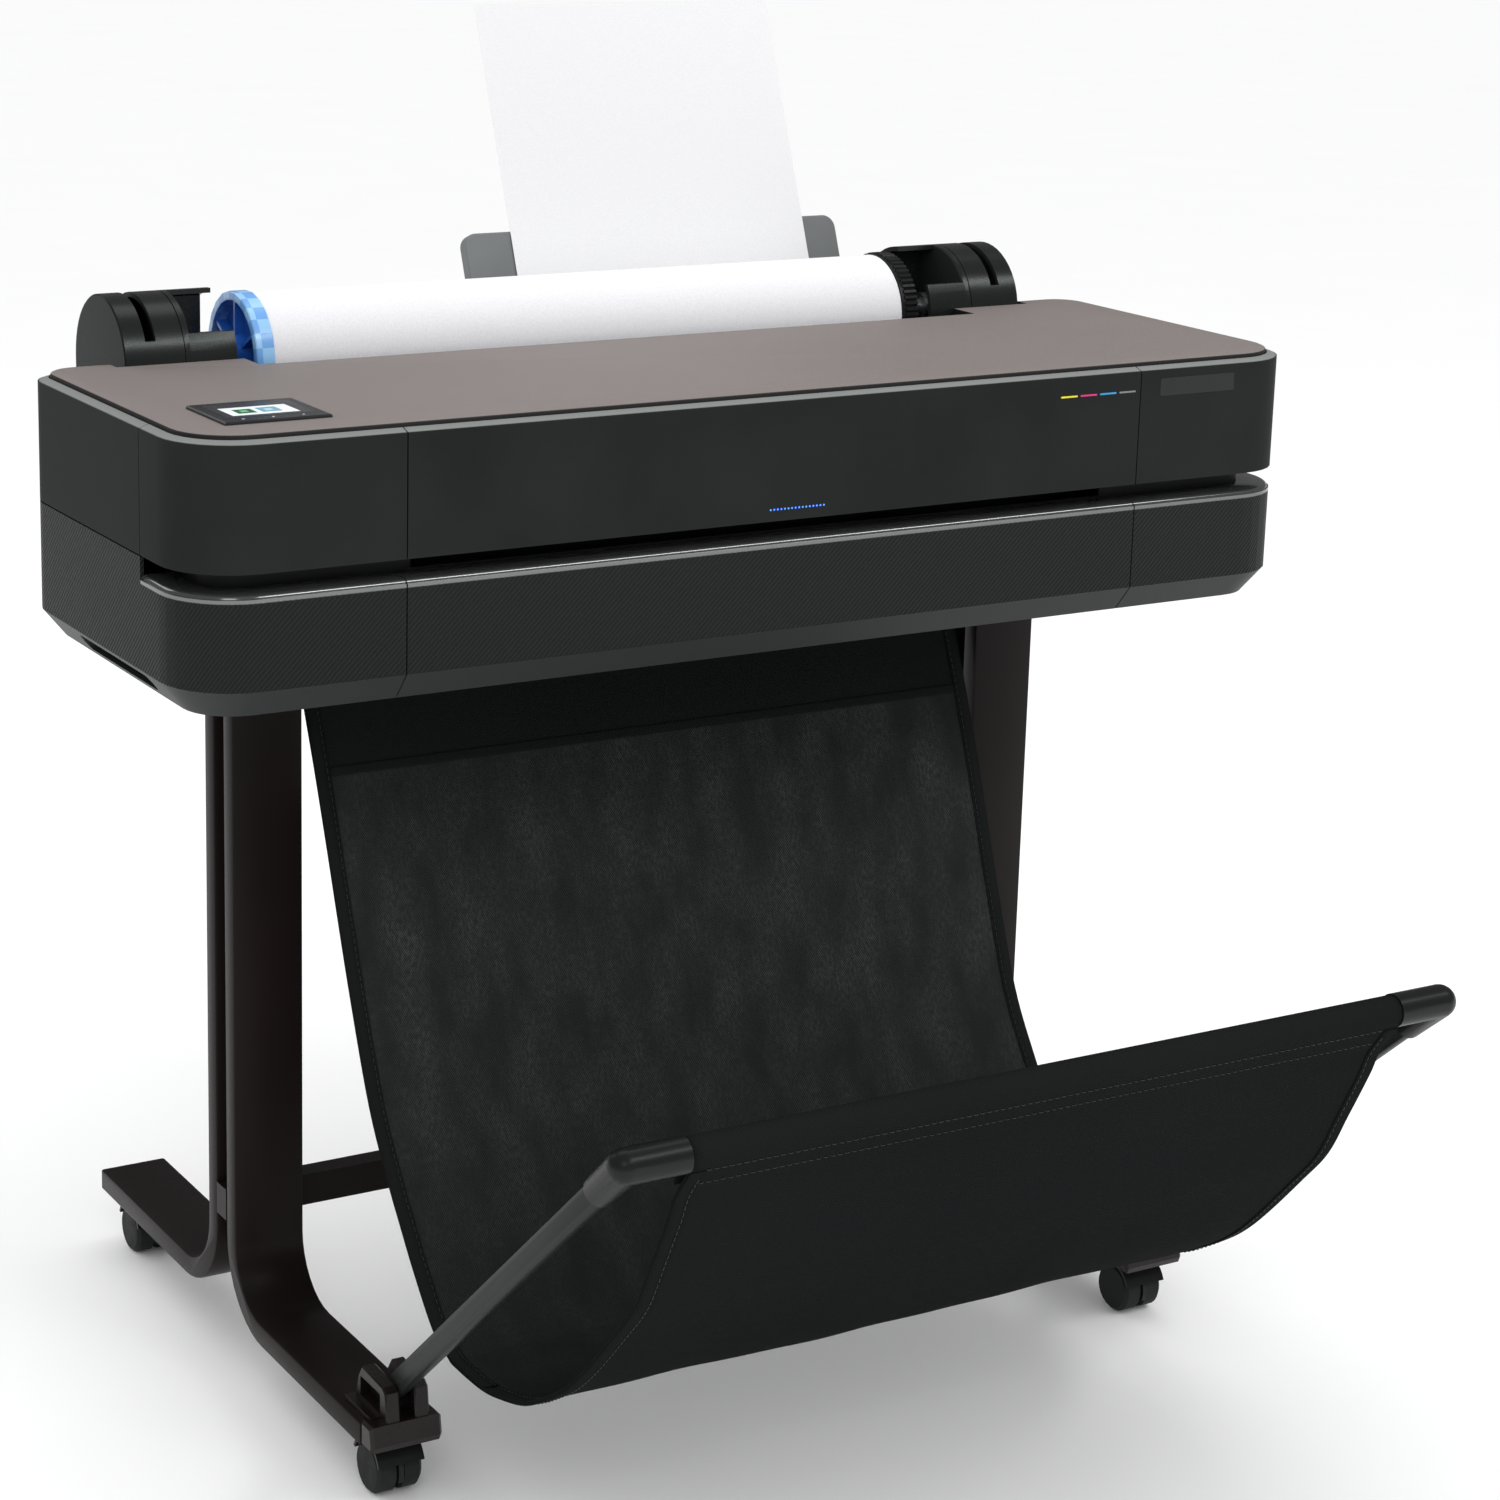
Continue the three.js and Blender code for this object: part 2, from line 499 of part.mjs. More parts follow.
function addFeeder() {
  const r = 12;
  const shape = new THREE.Shape();
  shape.moveTo(TRAY_LEFT, 0);
  shape.lineTo(TRAY_RIGHT, 0);
  shape.lineTo(TRAY_RIGHT, TRAY_LENGTH - r);
  shape.absarc(TRAY_RIGHT - r, TRAY_LENGTH - r, r, 0, Math.PI / 2, false);
  shape.lineTo(TRAY_LEFT + r, TRAY_LENGTH);
  shape.absarc(TRAY_LEFT + r, TRAY_LENGTH - r, r, Math.PI / 2, Math.PI, false);
  const edge = 1.5;
  const plate = new THREE.ExtrudeGeometry(shape, {
    depth: TRAY_T - 2 * edge, curveSegments: 4, bevelEnabled: true,
    bevelThickness: edge, bevelSize: edge, bevelOffset: -edge, bevelSegments: 1,
  }).translate(0, 0, -(TRAY_T - edge)).rotateX(Math.PI / 2)
    .translate(0, SHEET_T + 1, 0).rotateX(-SHEET_LEAN).translate(0, SHEET_FOOT.y, SHEET_FOOT.z);
  const rail = leaning(TRAY_LEFT + 15, SHEET_RIGHT + 15, 30, 38, SHEET_T - 3, SHEET_T + 5);
  add('sheet_tray', cut(solid(plate), rail), 'tray');
  add('sheet_guide', join(
    leaning(SHEET_LEFT - 8, SHEET_LEFT - 1, 8, 62, -14, SHEET_T + 0.7),
    leaning(SHEET_LEFT - 8, SHEET_LEFT - 1, 31, 37, SHEET_T, SHEET_T + 4.5)), 'black');
  add('loaded_sheet', leaning(SHEET_LEFT, SHEET_RIGHT, 0, SHEET_LENGTH, 0, SHEET_T), 'paper');
}

// ---------------------------------------------------------------- stand
// Bent flat tube: a post, a bend and a foot. dir is -1 for a foot that runs forward, 1 for back.
function legShape(face, dir, footEnd, inset, open) {
  const near = face + (dir < 0 ? inset : TUBE_T - inset);
  const far = face + (dir < 0 ? TUBE_T - inset : inset);
  const top = BASE_Z - GAP + open;
  const rIn = BEND_IN + inset;
  const rOut = BEND_IN + TUBE_T - inset;
  const cy = near + dir * rIn;
  const cz = FOOT_Z + TUBE_T - inset + rIn;
  const end = footEnd - dir * inset;
  const from = dir < 0 ? 0 : Math.PI;
  const to = dir < 0 ? -Math.PI / 2 : Math.PI * 1.5;
  return shapeOf([
    V2(near, top),
    ...arcPoints(cy, cz, rIn, from, to, 8),
    V2(end, FOOT_Z + TUBE_T - inset), V2(end, FOOT_Z + inset),
    ...arcPoints(cy, cz, rOut, to, from, 10),
    V2(far, top),
  ]);
}

function addStand() {
  for (const [side, s] of SIDES) {
    const x0 = s * LEG_X - LEG_HALF;
    const x1 = s * LEG_X + LEG_HALF;
    const leg = (face, dir, end) => cut(
      alongX(legShape(face, dir, end, 0, 0), x0, x1, 2.2, 2),
      alongX(legShape(face, dir, end, TUBE_WALL, 5), x0 + TUBE_WALL * 1.6, x1 - TUBE_WALL * 1.6));
    add(`leg_front_${side}`, leg(FRONT_POST_Y, -1, FRONT_FOOT_Y), 'leg');
    add(`leg_rear_${side}`, leg(REAR_POST_Y, 1, REAR_FOOT_Y), 'leg');
  }
  const y0 = FRONT_POST_Y + TUBE_T + 0.4;
  const y1 = REAR_POST_Y - 0.4;
  const half = LEG_X + LEG_HALF;
  const reach = half - 8;
  add('cross_brace', cut(
    box(-half, half, y0, y1, BRACE_Z, BRACE_Z + BRACE_H),
    box(-reach, reach, y0 + 2, y1 - 2, BRACE_Z - 1, BRACE_Z + BRACE_H - 2)), 'leg');
}

// Moulded bracket that closes the front foot and holds the bin arm between two hollow towers.
function addFootBrackets() {
  const footTop = FOOT_Z + TUBE_T;
  const frontY = -57;
  for (const [side, s] of SIDES) {
    const x0 = s * LEG_X - LEG_HALF;
    const x1 = s * LEG_X + LEG_HALF;
    const nose = alongX(shapeOf([
      V2(FRONT_FOOT_Y - GAP, FOOT_Z + 1), V2(frontY + 2, FOOT_Z + 1), V2(frontY, FOOT_Z + 6),
      V2(frontY + 3, footTop + 4), V2(FRONT_FOOT_Y - GAP, footTop + 4),
    ]), x0 + 0.5, x1 - 0.5, 2.5);
    const saddle = box(x0 + 7, x1 - 7, FRONT_FOOT_Y - 5, 6, footTop + GAP, footTop + 5);
    const tower = (a, b) => alongX(shapeOf([
      V2(frontY + 4, footTop + 3), V2(4, footTop + 3), V2(-2, footTop + 24), V2(-8, footTop + 33),
      V2(frontY + 12, footTop + 31), V2(frontY + 7, footTop + 27),
    ]), a, b, 1.2);
    const slotHalf = ARM_HALF_T + 0.8;
    const inner = [s * ARM_X - slotHalf - 12, s * ARM_X - slotHalf];
    const outer = [s * ARM_X + slotHalf, s * ARM_X + slotHalf + 12];
    const pocketY = [frontY + 16, -6];
    const pockets = [[inner[0] - 2, inner[0] + 9], [outer[1] - 9, outer[1] + 2]]
      .map(([a, b]) => box(a, b, ...pocketY, footTop + 8, footTop + 24));
    const slot = box(s * ARM_X - slotHalf, s * ARM_X + slotHalf, frontY - 5, 20, footTop + 5, footTop + 60);
    const pin = cylinderX(inner[0] + 10, outer[1] - 10, PIVOT.y, PIVOT.z, PIN_R, 16);
    add(`foot_bracket_${side}`, join(
      cut(join(nose, saddle, tower(...inner), tower(...outer)), slot, ...pockets), pin), 'bracket');
  }
}

// ---------------------------------------------------------------- casters
// Two wheels and their axle as one turned profile: radius, then distance along the axle.
function wheelProfile() {
  const tread = WHEEL_R / Math.cos(Math.PI / TREAD_SIDES);
  const inner = WEB_HALF + 2 * GAP;
  const half = [
    V2(AXLE_R, inner), V2(tread - 2, inner), V2(tread, inner + 0.8),
    V2(tread, WHEEL_HALF - TREAD_EDGE), V2(tread - TREAD_EDGE, WHEEL_HALF), V2(0, WHEEL_HALF),
  ];
  return [...half.map((p) => V2(p.x, -p.y)).reverse(), ...half];
}

function addCasters() {
  const places = [['front', WHEEL_FRONT_Y], ['rear', WHEEL_REAR_Y]];
  for (const [side, s] of SIDES) {
    for (const [place, y] of places) {
      const x = s * LEG_X;
      const shroudHalf = WHEEL_HALF + 0.5;
      const shroud = alongX(shapeOf([
        ...arcPoints(y, WHEEL_R, WHEEL_R + 3.4, HOOD_FROM, HOOD_TO, 12),
        ...arcPoints(y, WHEEL_R, WHEEL_R + 1, HOOD_TO, HOOD_FROM, 12),
      ]), x - shroudHalf, x + shroudHalf);
      const web = cylinderX(x - WEB_HALF, x + WEB_HALF, y, WHEEL_R, WHEEL_R + 1.8, 24)
        .intersect(box(x - 5, x + 5, y - 40, y + 40, WHEEL_R - 8, WHEEL_R + 40));
      const stem = cylinderZ(x, y + TRAIL, 2 * WHEEL_R, FOOT_Z - GAP, STEM_R);
      const hole = cylinderX(x - 6, x + 6, y, WHEEL_R, AXLE_R + 0.4, 16);
      const wheelRoom = [-1, 1].map((k) => cylinderX(
        x + k * WEB_HALF, x + k * (WHEEL_HALF + 9), y, WHEEL_R, WHEEL_R + 0.9, 24));
      add(`caster_${place}_${side}`, cut(join(shroud, web, stem), hole, ...wheelRoom), 'black');
      const wheels = new THREE.LatheGeometry(wheelProfile(), TREAD_SIDES)
        .rotateZ(-Math.PI / 2).rotateX(Math.PI / TREAD_SIDES).translate(x, y, WHEEL_R);
      add(`wheels_${place}_${side}`, solid(wheels), 'rubber');
    }
  }
}

// ---------------------------------------------------------------- fabric bin
// Strip of cloth that follows a smooth line of points in Y and Z.
function clothStrip(points, steps, half) {
  const line = new THREE.SplineCurve(points.map(([y, z]) => V2(y, z))).getSpacedPoints(steps);
  const offset = (k) => line.map((p, i) => {
    const a = line[Math.max(i - 1, 0)];
    const b = line[Math.min(i + 1, steps)];
    const t = b.clone().sub(a).normalize();
    return V2(p.x - k * t.y, p.y + k * t.x);
  });
  const section = shapeOf([...offset(CLOTH_T / 2), ...offset(-CLOTH_T / 2).reverse()]);
  return alongX(section, -half, half);
}

const sleeve = (at, r, half) => alongX(shapeOf(circlePoints(at.y, at.z, r + CLOTH_T + 0.4, 20),
  circlePoints(at.y, at.z, r + 0.4, 20)), -half, half);

function addCloth() {
  const rear = clothStrip([
    [ROD.y - ROD_R - 1.2, ROD.z], [223, 555], [204, 510], [180, 450], [165, 411], [137, 339], [103, 259],
    [70, 208], [50, 182], [25, 151], [-8, 116], [-33, 104], [-46, 101.2],
  ], 26, CLOTH_REAR_HALF);
  const front = clothStrip([
    [-50, 101], [-89, 101], [-122, 107], [-158, 118], [-190, 136], [-221, 158], [-250, 186], [-288, 229],
    [-315, 262], [-334, 300], [-357, 347], [-366, 370],
    [BAR.y + 4, BAR.z - BAR_R - 0.4],
  ], 22, CLOTH_HALF);
  add('bin_cloth_rear', join(rear, sleeve(ROD, ROD_R, CLOTH_REAR_HALF)), 'cloth');
  add('bin_cloth_front', cut(join(front, sleeve(BAR, BAR_R, CLOTH_HALF)),
    cylinderX(-CLOTH_HALF - 1, CLOTH_HALF + 1, BAR.y, BAR.z, BAR_R + 0.4, 20)), 'cloth');
}

function addBinFrame() {
  const rodHalf = LEG_X - LEG_HALF - GAP;
  add('bin_rod', cylinderX(-rodHalf, rodHalf, ROD.y, ROD.z, ROD_R, 20), 'tube');
  add('bin_bar', cylinderX(-BAR_HALF, BAR_HALF, BAR.y, BAR.z, BAR_R, 20), 'tube');
  const run = V2(BAR.y - PIVOT.y, BAR.z - PIVOT.z);
  const along = run.clone().normalize();
  const tilt = Math.atan2(run.y, run.x);
  const at = (d) => V2(PIVOT.y + along.x * d, PIVOT.z + along.y * d);
  const capsule = (from, to, half) => {
    const a = at(from);
    const b = at(to);
    return shapeOf([
      ...arcPoints(b.x, b.y, half, tilt - Math.PI / 2, tilt + Math.PI / 2, 8),
      ...arcPoints(a.x, a.y, half, tilt + Math.PI / 2, tilt + Math.PI * 1.5, 8),
    ]);
  };
  const length = run.length();
  for (const [side, s] of SIDES) {
    const x = s * ARM_X;
    const arm = (grow, to) => alongX(capsule(0, to, ARM_HALF_W + grow),
      x - ARM_HALF_T - grow, x + ARM_HALF_T + grow, 2.5, 2);
    const hole = cylinderX(x - 10, x + 10, PIVOT.y, PIVOT.z, PIN_R + 0.4, 16);
    add(`bin_arm_${side}`, cut(arm(0, length - 24), hole), 'tube');
    const socket = new THREE.CylinderGeometry(ELBOW_R, ELBOW_R - 1, 44, 20)
      .rotateX(tilt)
      .translate(x, at(length - 22).x, at(length - 22).y);
    const knee = new THREE.SphereGeometry(ELBOW_R, 20, 12).translate(x, BAR.y, BAR.z);
    const body = join(
      cylinderX(s * (CLOTH_HALF + 1), x, BAR.y, BAR.z, ELBOW_R, 20), solid(knee), solid(socket));
    add(`bin_elbow_${side}`, cut(body,
      cylinderX(0, s * (BAR_HALF + GAP), BAR.y, BAR.z, BAR_R + GAP, 20), arm(GAP, length - 24)), 'black');
  }
}

// ---------------------------------------------------------------- print mechanism
function addChassis() {
  const plate = (x, foot) => cut(
    alongX(shapeOf([V2(70, foot), V2(270, foot), V2(270, 750), V2(250, 815), V2(110, 815), V2(70, 740)]),
      x, x + PLATE_T),
    cylinderX(x - 5, x + 8, FEED.y, FEED.z, SHAFT_END_R + GAP),
    cylinderX(x - 5, x + 8, GUIDE.y, GUIDE.z, GUIDE.r + GAP));
  const flange = (x, foot) => box(x, x + 20, 80, 260, foot, foot + PLATE_T);
  const onGrip = GRIP.z1 + GRIP.wall + GAP;
  add('chassis_left', join(plate(CHASSIS_LEFT, onGrip), flange(CHASSIS_LEFT, onGrip)), 'steel');
  add('chassis_right', join(plate(CHASSIS_RIGHT, TUB_FLOOR), flange(CHASSIS_RIGHT, TUB_FLOOR)), 'steel');
  add('guide_rod', cylinderX(CHASSIS_LEFT - 3, CHASSIS_RIGHT + 6, GUIDE.y, GUIDE.z, GUIDE.r), 'steel');
  add('carriage_beam', alongX(shapeOf([
    V2(214, 745), V2(217, 745), V2(217, 809), V2(246, 809), V2(246, 812), V2(214, 812),
  ]), DRIVE_LEFT, DRIVE_RIGHT), 'steel');
}

// Roller that feeds the paper over a ribbed table on two legs.
function addPaperPath() {
  const shaft = cylinderX(CHASSIS_LEFT - 3, CHASSIS_RIGHT + 6, FEED.y, FEED.z, SHAFT_END_R);
  add('feed_roller', join(shaft, cylinderX(-310, 312, FEED.y, FEED.z, FEED.r)), 'rubber');
  const table = { x0: -316, x1: 320, y0: 60, y1: 184, top: 720.5 };
  const ribs = Array.from({ length: 21 }, (_, i) => box(
    -301 + i * 30, -299 + i * 30, table.y0 + 2, table.y1 - 2, table.top - 0.5, table.top + 1.9));
  const beam = cut(
    box(table.x0, table.x1, table.y0 + 6, table.y1 - 6, 690, 717),
    box(table.x0 + 4, table.x1 - 4, table.y0 + 10, table.y1 - 10, 680, 713));
  const legs = [table.x0, table.x1 - 16].map((x) => box(x, x + 16, 105, 139, TUB_FLOOR, 714));
  add('platen', join(
    box(table.x0, table.x1, table.y0, table.y1, table.top - 5, table.top), beam, ...ribs, ...legs), 'black');
}

function addCarriage() {
  const x0 = DRIVE_LEFT + 11.7;
  const x1 = x0 + 105;
  const bore = cylinderX(x0 - 5, x1 + 5, GUIDE.y, GUIDE.z, GUIDE.r + GAP);
  add('print_carriage', cut(join(
    box(x0, x1, 96, 176, 730, 800),
    box(x0 + 20, x1 - 20, 174, 208, 772, 790),
    box(x0 + 12, x1 - 12, 104, 160, 725.5, 731)), bore), 'black');
}

// Belt loop seen from above between the motor's pulley and the idler.
function addBeltDrive() {
  const y = 231;
  const inset = 24;
  const pulleyR = 7.2;
  const loop = (thin) => shapeOf([
    ...arcPoints(DRIVE_RIGHT - inset, y, 9 - thin, -Math.PI / 2, Math.PI / 2, 8),
    ...arcPoints(DRIVE_LEFT + inset, y, 9 - thin, Math.PI / 2, Math.PI * 1.5, 8),
  ]);
  add('drive_belt', cut(
    alongZ(loop(0), BELT_Z, BELT_Z + 6), alongZ(loop(1.4), BELT_Z - 1, BELT_Z + 7)), 'rubber');
  add('carriage_motor', join(
    cylinderZ(DRIVE_RIGHT - inset, y, BELT_Z - 56, BELT_Z - 18, 21, 24),
    cylinderZ(DRIVE_RIGHT - inset, y, BELT_Z - 20, BELT_Z + 8, pulleyR, 16)), 'steel');
  add('belt_idler', join(
    cylinderZ(DRIVE_LEFT + inset, y, BELT_Z - 8, BELT_Z + 8, pulleyR, 16),
    box(DRIVE_LEFT + 10, DRIVE_LEFT + 38, y - 9, y + 9, BELT_Z - 24, BELT_Z - 7)), 'steel');
}

function addServiceStation() {
  const x0 = -458;
  const x1 = -348;
  const tray = cut(box(x0, x1, 98, 182, 690, 722), box(x0 + 12, x1 - 12, 108, 158, 706, 730));
  add('service_station', join(tray, box(x0 + 20, x1 - 14, 112, 168, TUB_FLOOR, 692)), 'black');
}

function addElectronics() {
  const base = TUB_FLOOR;
  add('electronics', join(
    box(-300, -120, 200, 300, base, base + 3),
    box(-290, -190, 210, 290, base + 2, base + 35),
    box(-180, -130, 215, 285, base + 2, base + 15)), 'board');
}

// Open cartridge bay with its four cartridges, held up by a bracket behind them.
function addInkStation() {
  const x0 = 346;
  const x1 = 470;
  const y1 = 150;
  const shelf = 733;
  const cartridges = Array.from({ length: 4 }, (_, i) => {
    const x = x0 + 3 + i * 30;
    return box(x, x + 26, 50, y1, shelf + 4, shelf + 73);
  });
  add('ink_station', join(
    box(x0, x1, 50, y1 + 6, shelf, shelf + 5), ...cartridges,
    box(x0, x1, y1 - 2, y1 + 6, shelf, shelf + 79),
    box(x0 + 40, x1 - 40, y1, y1 + 6, TUB_FLOOR, shelf + 2)), 'black');
}

// ---------------------------------------------------------------- assembly
addLowerCovers();
addSlotFrame();
addUpperCovers();
addTopCover();
addTouchPanel();
addRollBay();
addPowerInlet();
addHolders();
addRoll();
addFeeder();
addStand();
addFootBrackets();
addCasters();
addBinFrame();
addCloth();
addChassis();
addPaperPath();
addCarriage();
addBeltDrive();
addServiceStation();
addElectronics();
addInkStation();

// The origin goes on the floor, under the middle of the whole object.
const bounds = new THREE.Box3().setFromObject(group);
group.position.set(0, -(bounds.min.y + bounds.max.y) / 2, -bounds.min.z);

export default group;
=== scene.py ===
import json
import math

import bpy
from mathutils import Matrix, Vector


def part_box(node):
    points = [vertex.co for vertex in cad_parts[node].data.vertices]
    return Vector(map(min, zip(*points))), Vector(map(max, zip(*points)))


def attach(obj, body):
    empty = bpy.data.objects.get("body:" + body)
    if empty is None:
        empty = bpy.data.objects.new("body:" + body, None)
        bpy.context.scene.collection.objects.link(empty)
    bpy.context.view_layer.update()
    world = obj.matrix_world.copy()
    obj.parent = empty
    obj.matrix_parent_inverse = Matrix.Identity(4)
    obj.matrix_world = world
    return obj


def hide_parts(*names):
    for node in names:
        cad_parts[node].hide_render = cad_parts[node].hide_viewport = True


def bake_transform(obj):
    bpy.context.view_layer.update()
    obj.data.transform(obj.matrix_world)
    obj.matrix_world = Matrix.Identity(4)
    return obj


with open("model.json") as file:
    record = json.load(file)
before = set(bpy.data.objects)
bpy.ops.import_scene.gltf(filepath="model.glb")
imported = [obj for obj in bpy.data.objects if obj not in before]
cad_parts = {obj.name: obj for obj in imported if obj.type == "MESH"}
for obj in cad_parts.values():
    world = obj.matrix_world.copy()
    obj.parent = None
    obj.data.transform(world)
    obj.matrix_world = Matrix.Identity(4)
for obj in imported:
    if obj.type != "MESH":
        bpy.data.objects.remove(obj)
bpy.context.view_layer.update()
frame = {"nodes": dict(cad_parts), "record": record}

NODES = frame["nodes"]
MM = 0.001
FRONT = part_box("front_door")[0].y


def place(x, y, z):
    """A point in millimetres from the front face and the floor, in the frame."""
    return Vector((x * MM, FRONT + y * MM, z * MM))


# ---------------------------------------------------------------- driving sizes, mm
CLOTH_HALF = 316                 # at the rear rod; the cloth narrows towards the bar
CLOTH_FRONT_HALF = 308           # at the bar
CLOTH_T = 1.4
HEM, HEM_LIFT, HEM_THICK = 12, 1.25, 1.0
HEM_END = 4                      # hems stop this far from the rod and the bar
FLAP = 27                        # sleeve flaps, from the tube's middle to their ends
SEAM_DOWN = 102                  # from the rear rod to the cross seam
SEAM_HALF, SEAM_LIFT, SEAM_THICK = 3.5, 1.1, 0.9
STITCH_LIFT, HEM_STITCH_LIFT = 0.8, 1.85
DUST_AND_LIGHT_END = 760                  # length along the cloth where the rear panel's paler paint, part dust and part painted light, has faded out
ROD_Y, ROD_Z, ROD_R = 251, 603, 7
BAR_Y, BAR_Z, BAR_R = -375, 398.5, 10
RIM_Z = 824                      # lower edge of the covers' bevel, which is painted pale as a painted highlight
LEDGE_Z, LEDGE_DEEP = 707.8, 92  # lower edge of the polished ledge, and how far back it runs
RECESS_HIGH = 21                 # ribbed wall above the ledge's lower edge
RIB_PITCH = 4.6
CHAMFER_Z = 642                  # upper edge of the lower covers' chamfer
LIT_LOW, LIT_HIGH = (-443, 66.5), (-389.5, 97)   # the part of the display that is lit
ROLL_Y, ROLL_Z, ROLL_R = 364, 824, 50
RIM_IN, RIM_OUT = 43, 47         # radii where the blue flange's hub turns into its rim
RIM_SPLIT, RIM_PATCHES = -312, 26   # the rim's two rings of staggered patches, painted lighter and darker by turns as painted facet shading


# ---------------------------------------------------------------- material graphs
def linear(*rgb):
    """sRGB values out of 255 as a linear colour."""
    def one(c):
        c /= 255
        return c / 12.92 if c <= 0.04045 else ((c + 0.055) / 1.055) ** 2.4
    return tuple(one(c) for c in rgb) + (1.0,)


class Graph:
    """A Principled material whose colour, roughness and relief are built from nodes."""

    def __init__(self, name, roughness=0.5, metallic=0.0, **sockets):
        self.material = bpy.data.materials.new(name)
        self.material.use_nodes = True
        self.tree = self.material.node_tree
        self.shader = self.tree.nodes["Principled BSDF"]
        self.shader.inputs["Roughness"].default_value = roughness
        self.shader.inputs["Metallic"].default_value = metallic
        for socket, value in sockets.items():
            self.shader.inputs[socket.replace("_", " ")].default_value = value
        self.coord = self.node("ShaderNodeTexCoord").outputs["Object"]
        self.normal = None

    def node(self, kind, **settings):
        made = self.tree.nodes.new(kind)
        for key, value in settings.items():
            setattr(made, key, value)
        return made

    def feed(self, value, socket):
        if isinstance(value, bpy.types.NodeSocket):
            self.tree.links.new(value, socket)
        else:
            socket.default_value = value

    def math(self, operation, a, b=0.0, clamp=False):
        n = self.node("ShaderNodeMath", operation=operation, use_clamp=clamp)
        self.feed(a, n.inputs[0])
        self.feed(b, n.inputs[1])
        return n.outputs[0]

    def axes(self, coord=None):
        n = self.node("ShaderNodeSeparateXYZ")
        self.feed(coord or self.coord, n.inputs[0])
        return n.outputs

    def stretched(self, scale):
        n = self.node("ShaderNodeMapping")
        self.feed(self.coord, n.inputs["Vector"])
        n.inputs["Scale"].default_value = scale
        return n.outputs[0]

    def noise(self, scale, detail=2.0, coord=None):
        n = self.node("ShaderNodeTexNoise")
        self.feed(coord or self.coord, n.inputs["Vector"])
        n.inputs["Scale"].default_value = scale
        n.inputs["Detail"].default_value = detail
        return n.outputs["Fac"]

    def rescale(self, value, low, high, to_low=0.0, to_high=1.0):
        n = self.node("ShaderNodeMapRange")
        self.feed(value, n.inputs["Value"])
        limits = {"From Min": low, "From Max": high, "To Min": to_low, "To Max": to_high}
        for socket, number in limits.items():
            self.feed(number, n.inputs[socket])
        return n.outputs[0]

    def between(self, value, low, high, soft=0.0002):
        """1 where value is between low and high, 0 elsewhere."""
        return self.math("MULTIPLY", self.rescale(value, low - soft, low + soft),
                         self.rescale(value, high - soft, high + soft, 1.0, 0.0))

    def mix(self, factor, a, b):
        n = self.node("ShaderNodeMix", data_type="RGBA")
        self.feed(factor, n.inputs["Factor"])
        self.feed(a, n.inputs[6])
        self.feed(b, n.inputs[7])
        return n.outputs[2]

    def wave(self, value, pitch):
        """0 to 1 and back every pitch metres of value."""
        turn = self.math("SINE", self.math("MULTIPLY", value, 2 * math.pi / pitch))
        return self.rescale(turn, -1.0, 1.0)

    def color(self, value):
        self.feed(value, self.shader.inputs["Base Color"])
        return self

    def roughness(self, value):
        self.feed(value, self.shader.inputs["Roughness"])
        return self

    def relief(self, height, depth):
        n = self.node("ShaderNodeBump")
        n.inputs["Strength"].default_value = 1.0
        n.inputs["Distance"].default_value = depth
        self.feed(height, n.inputs["Height"])
        if self.normal:
            self.feed(self.normal, n.inputs["Normal"])
        self.normal = n.outputs[0]
        self.feed(self.normal, self.shader.inputs["Normal"])
        return self

    def facing(self, axis, low, high):
        """0 to 1 as the surface turns to face along an axis, either way."""
        normal = self.axes(self.node("ShaderNodeNewGeometry").outputs["Normal"])
        return self.rescale(self.math("ABSOLUTE", normal["XYZ".index(axis)]), low, high)

    def edges(self, width=0.0012):
        """0 on flat stretches, towards 1 along sharp edges."""
        rounded = self.node("ShaderNodeBevel", samples=4)
        rounded.inputs["Radius"].default_value = width
        plain = self.node("ShaderNodeNewGeometry").outputs["Normal"]
        dot = self.node("ShaderNodeVectorMath", operation="DOT_PRODUCT")
        self.feed(rounded.outputs[0], dot.inputs[0])
        self.feed(plain, dot.inputs[1])
        return self.rescale(dot.outputs["Value"], 1.0, 0.75)


def shade(rgb, factor):
    return tuple(c * factor for c in rgb[:3]) + (1.0,)


def moulded(name, rgb, roughness, grain=2600, depth=0.00006, shine=0.25, **sockets):
    """Moulded plastic: fine grain, slow mottling and a painted highlight along sharp edges."""
    g = Graph(name, roughness, Specular_IOR_Level=shine, **sockets)
    base = linear(*rgb)
    slow = g.rescale(g.noise(9, 3), 0.3, 0.7)
    tone = g.mix(slow, shade(base, 0.86), shade(base, 1.14))
    # Painted highlight: sharp edges are mixed towards a paler copy of the colour.
    g.color(g.mix(g.math("MULTIPLY", g.edges(), 0.5), tone, shade(base, 1.8)))
    fine = g.noise(grain, 1)
    g.roughness(g.math("ADD", g.rescale(fine, 0.3, 0.7, roughness - 0.05, roughness + 0.05),
                       g.rescale(slow, 0.0, 1.0, -0.02, 0.03)))
    return g.relief(fine, depth)


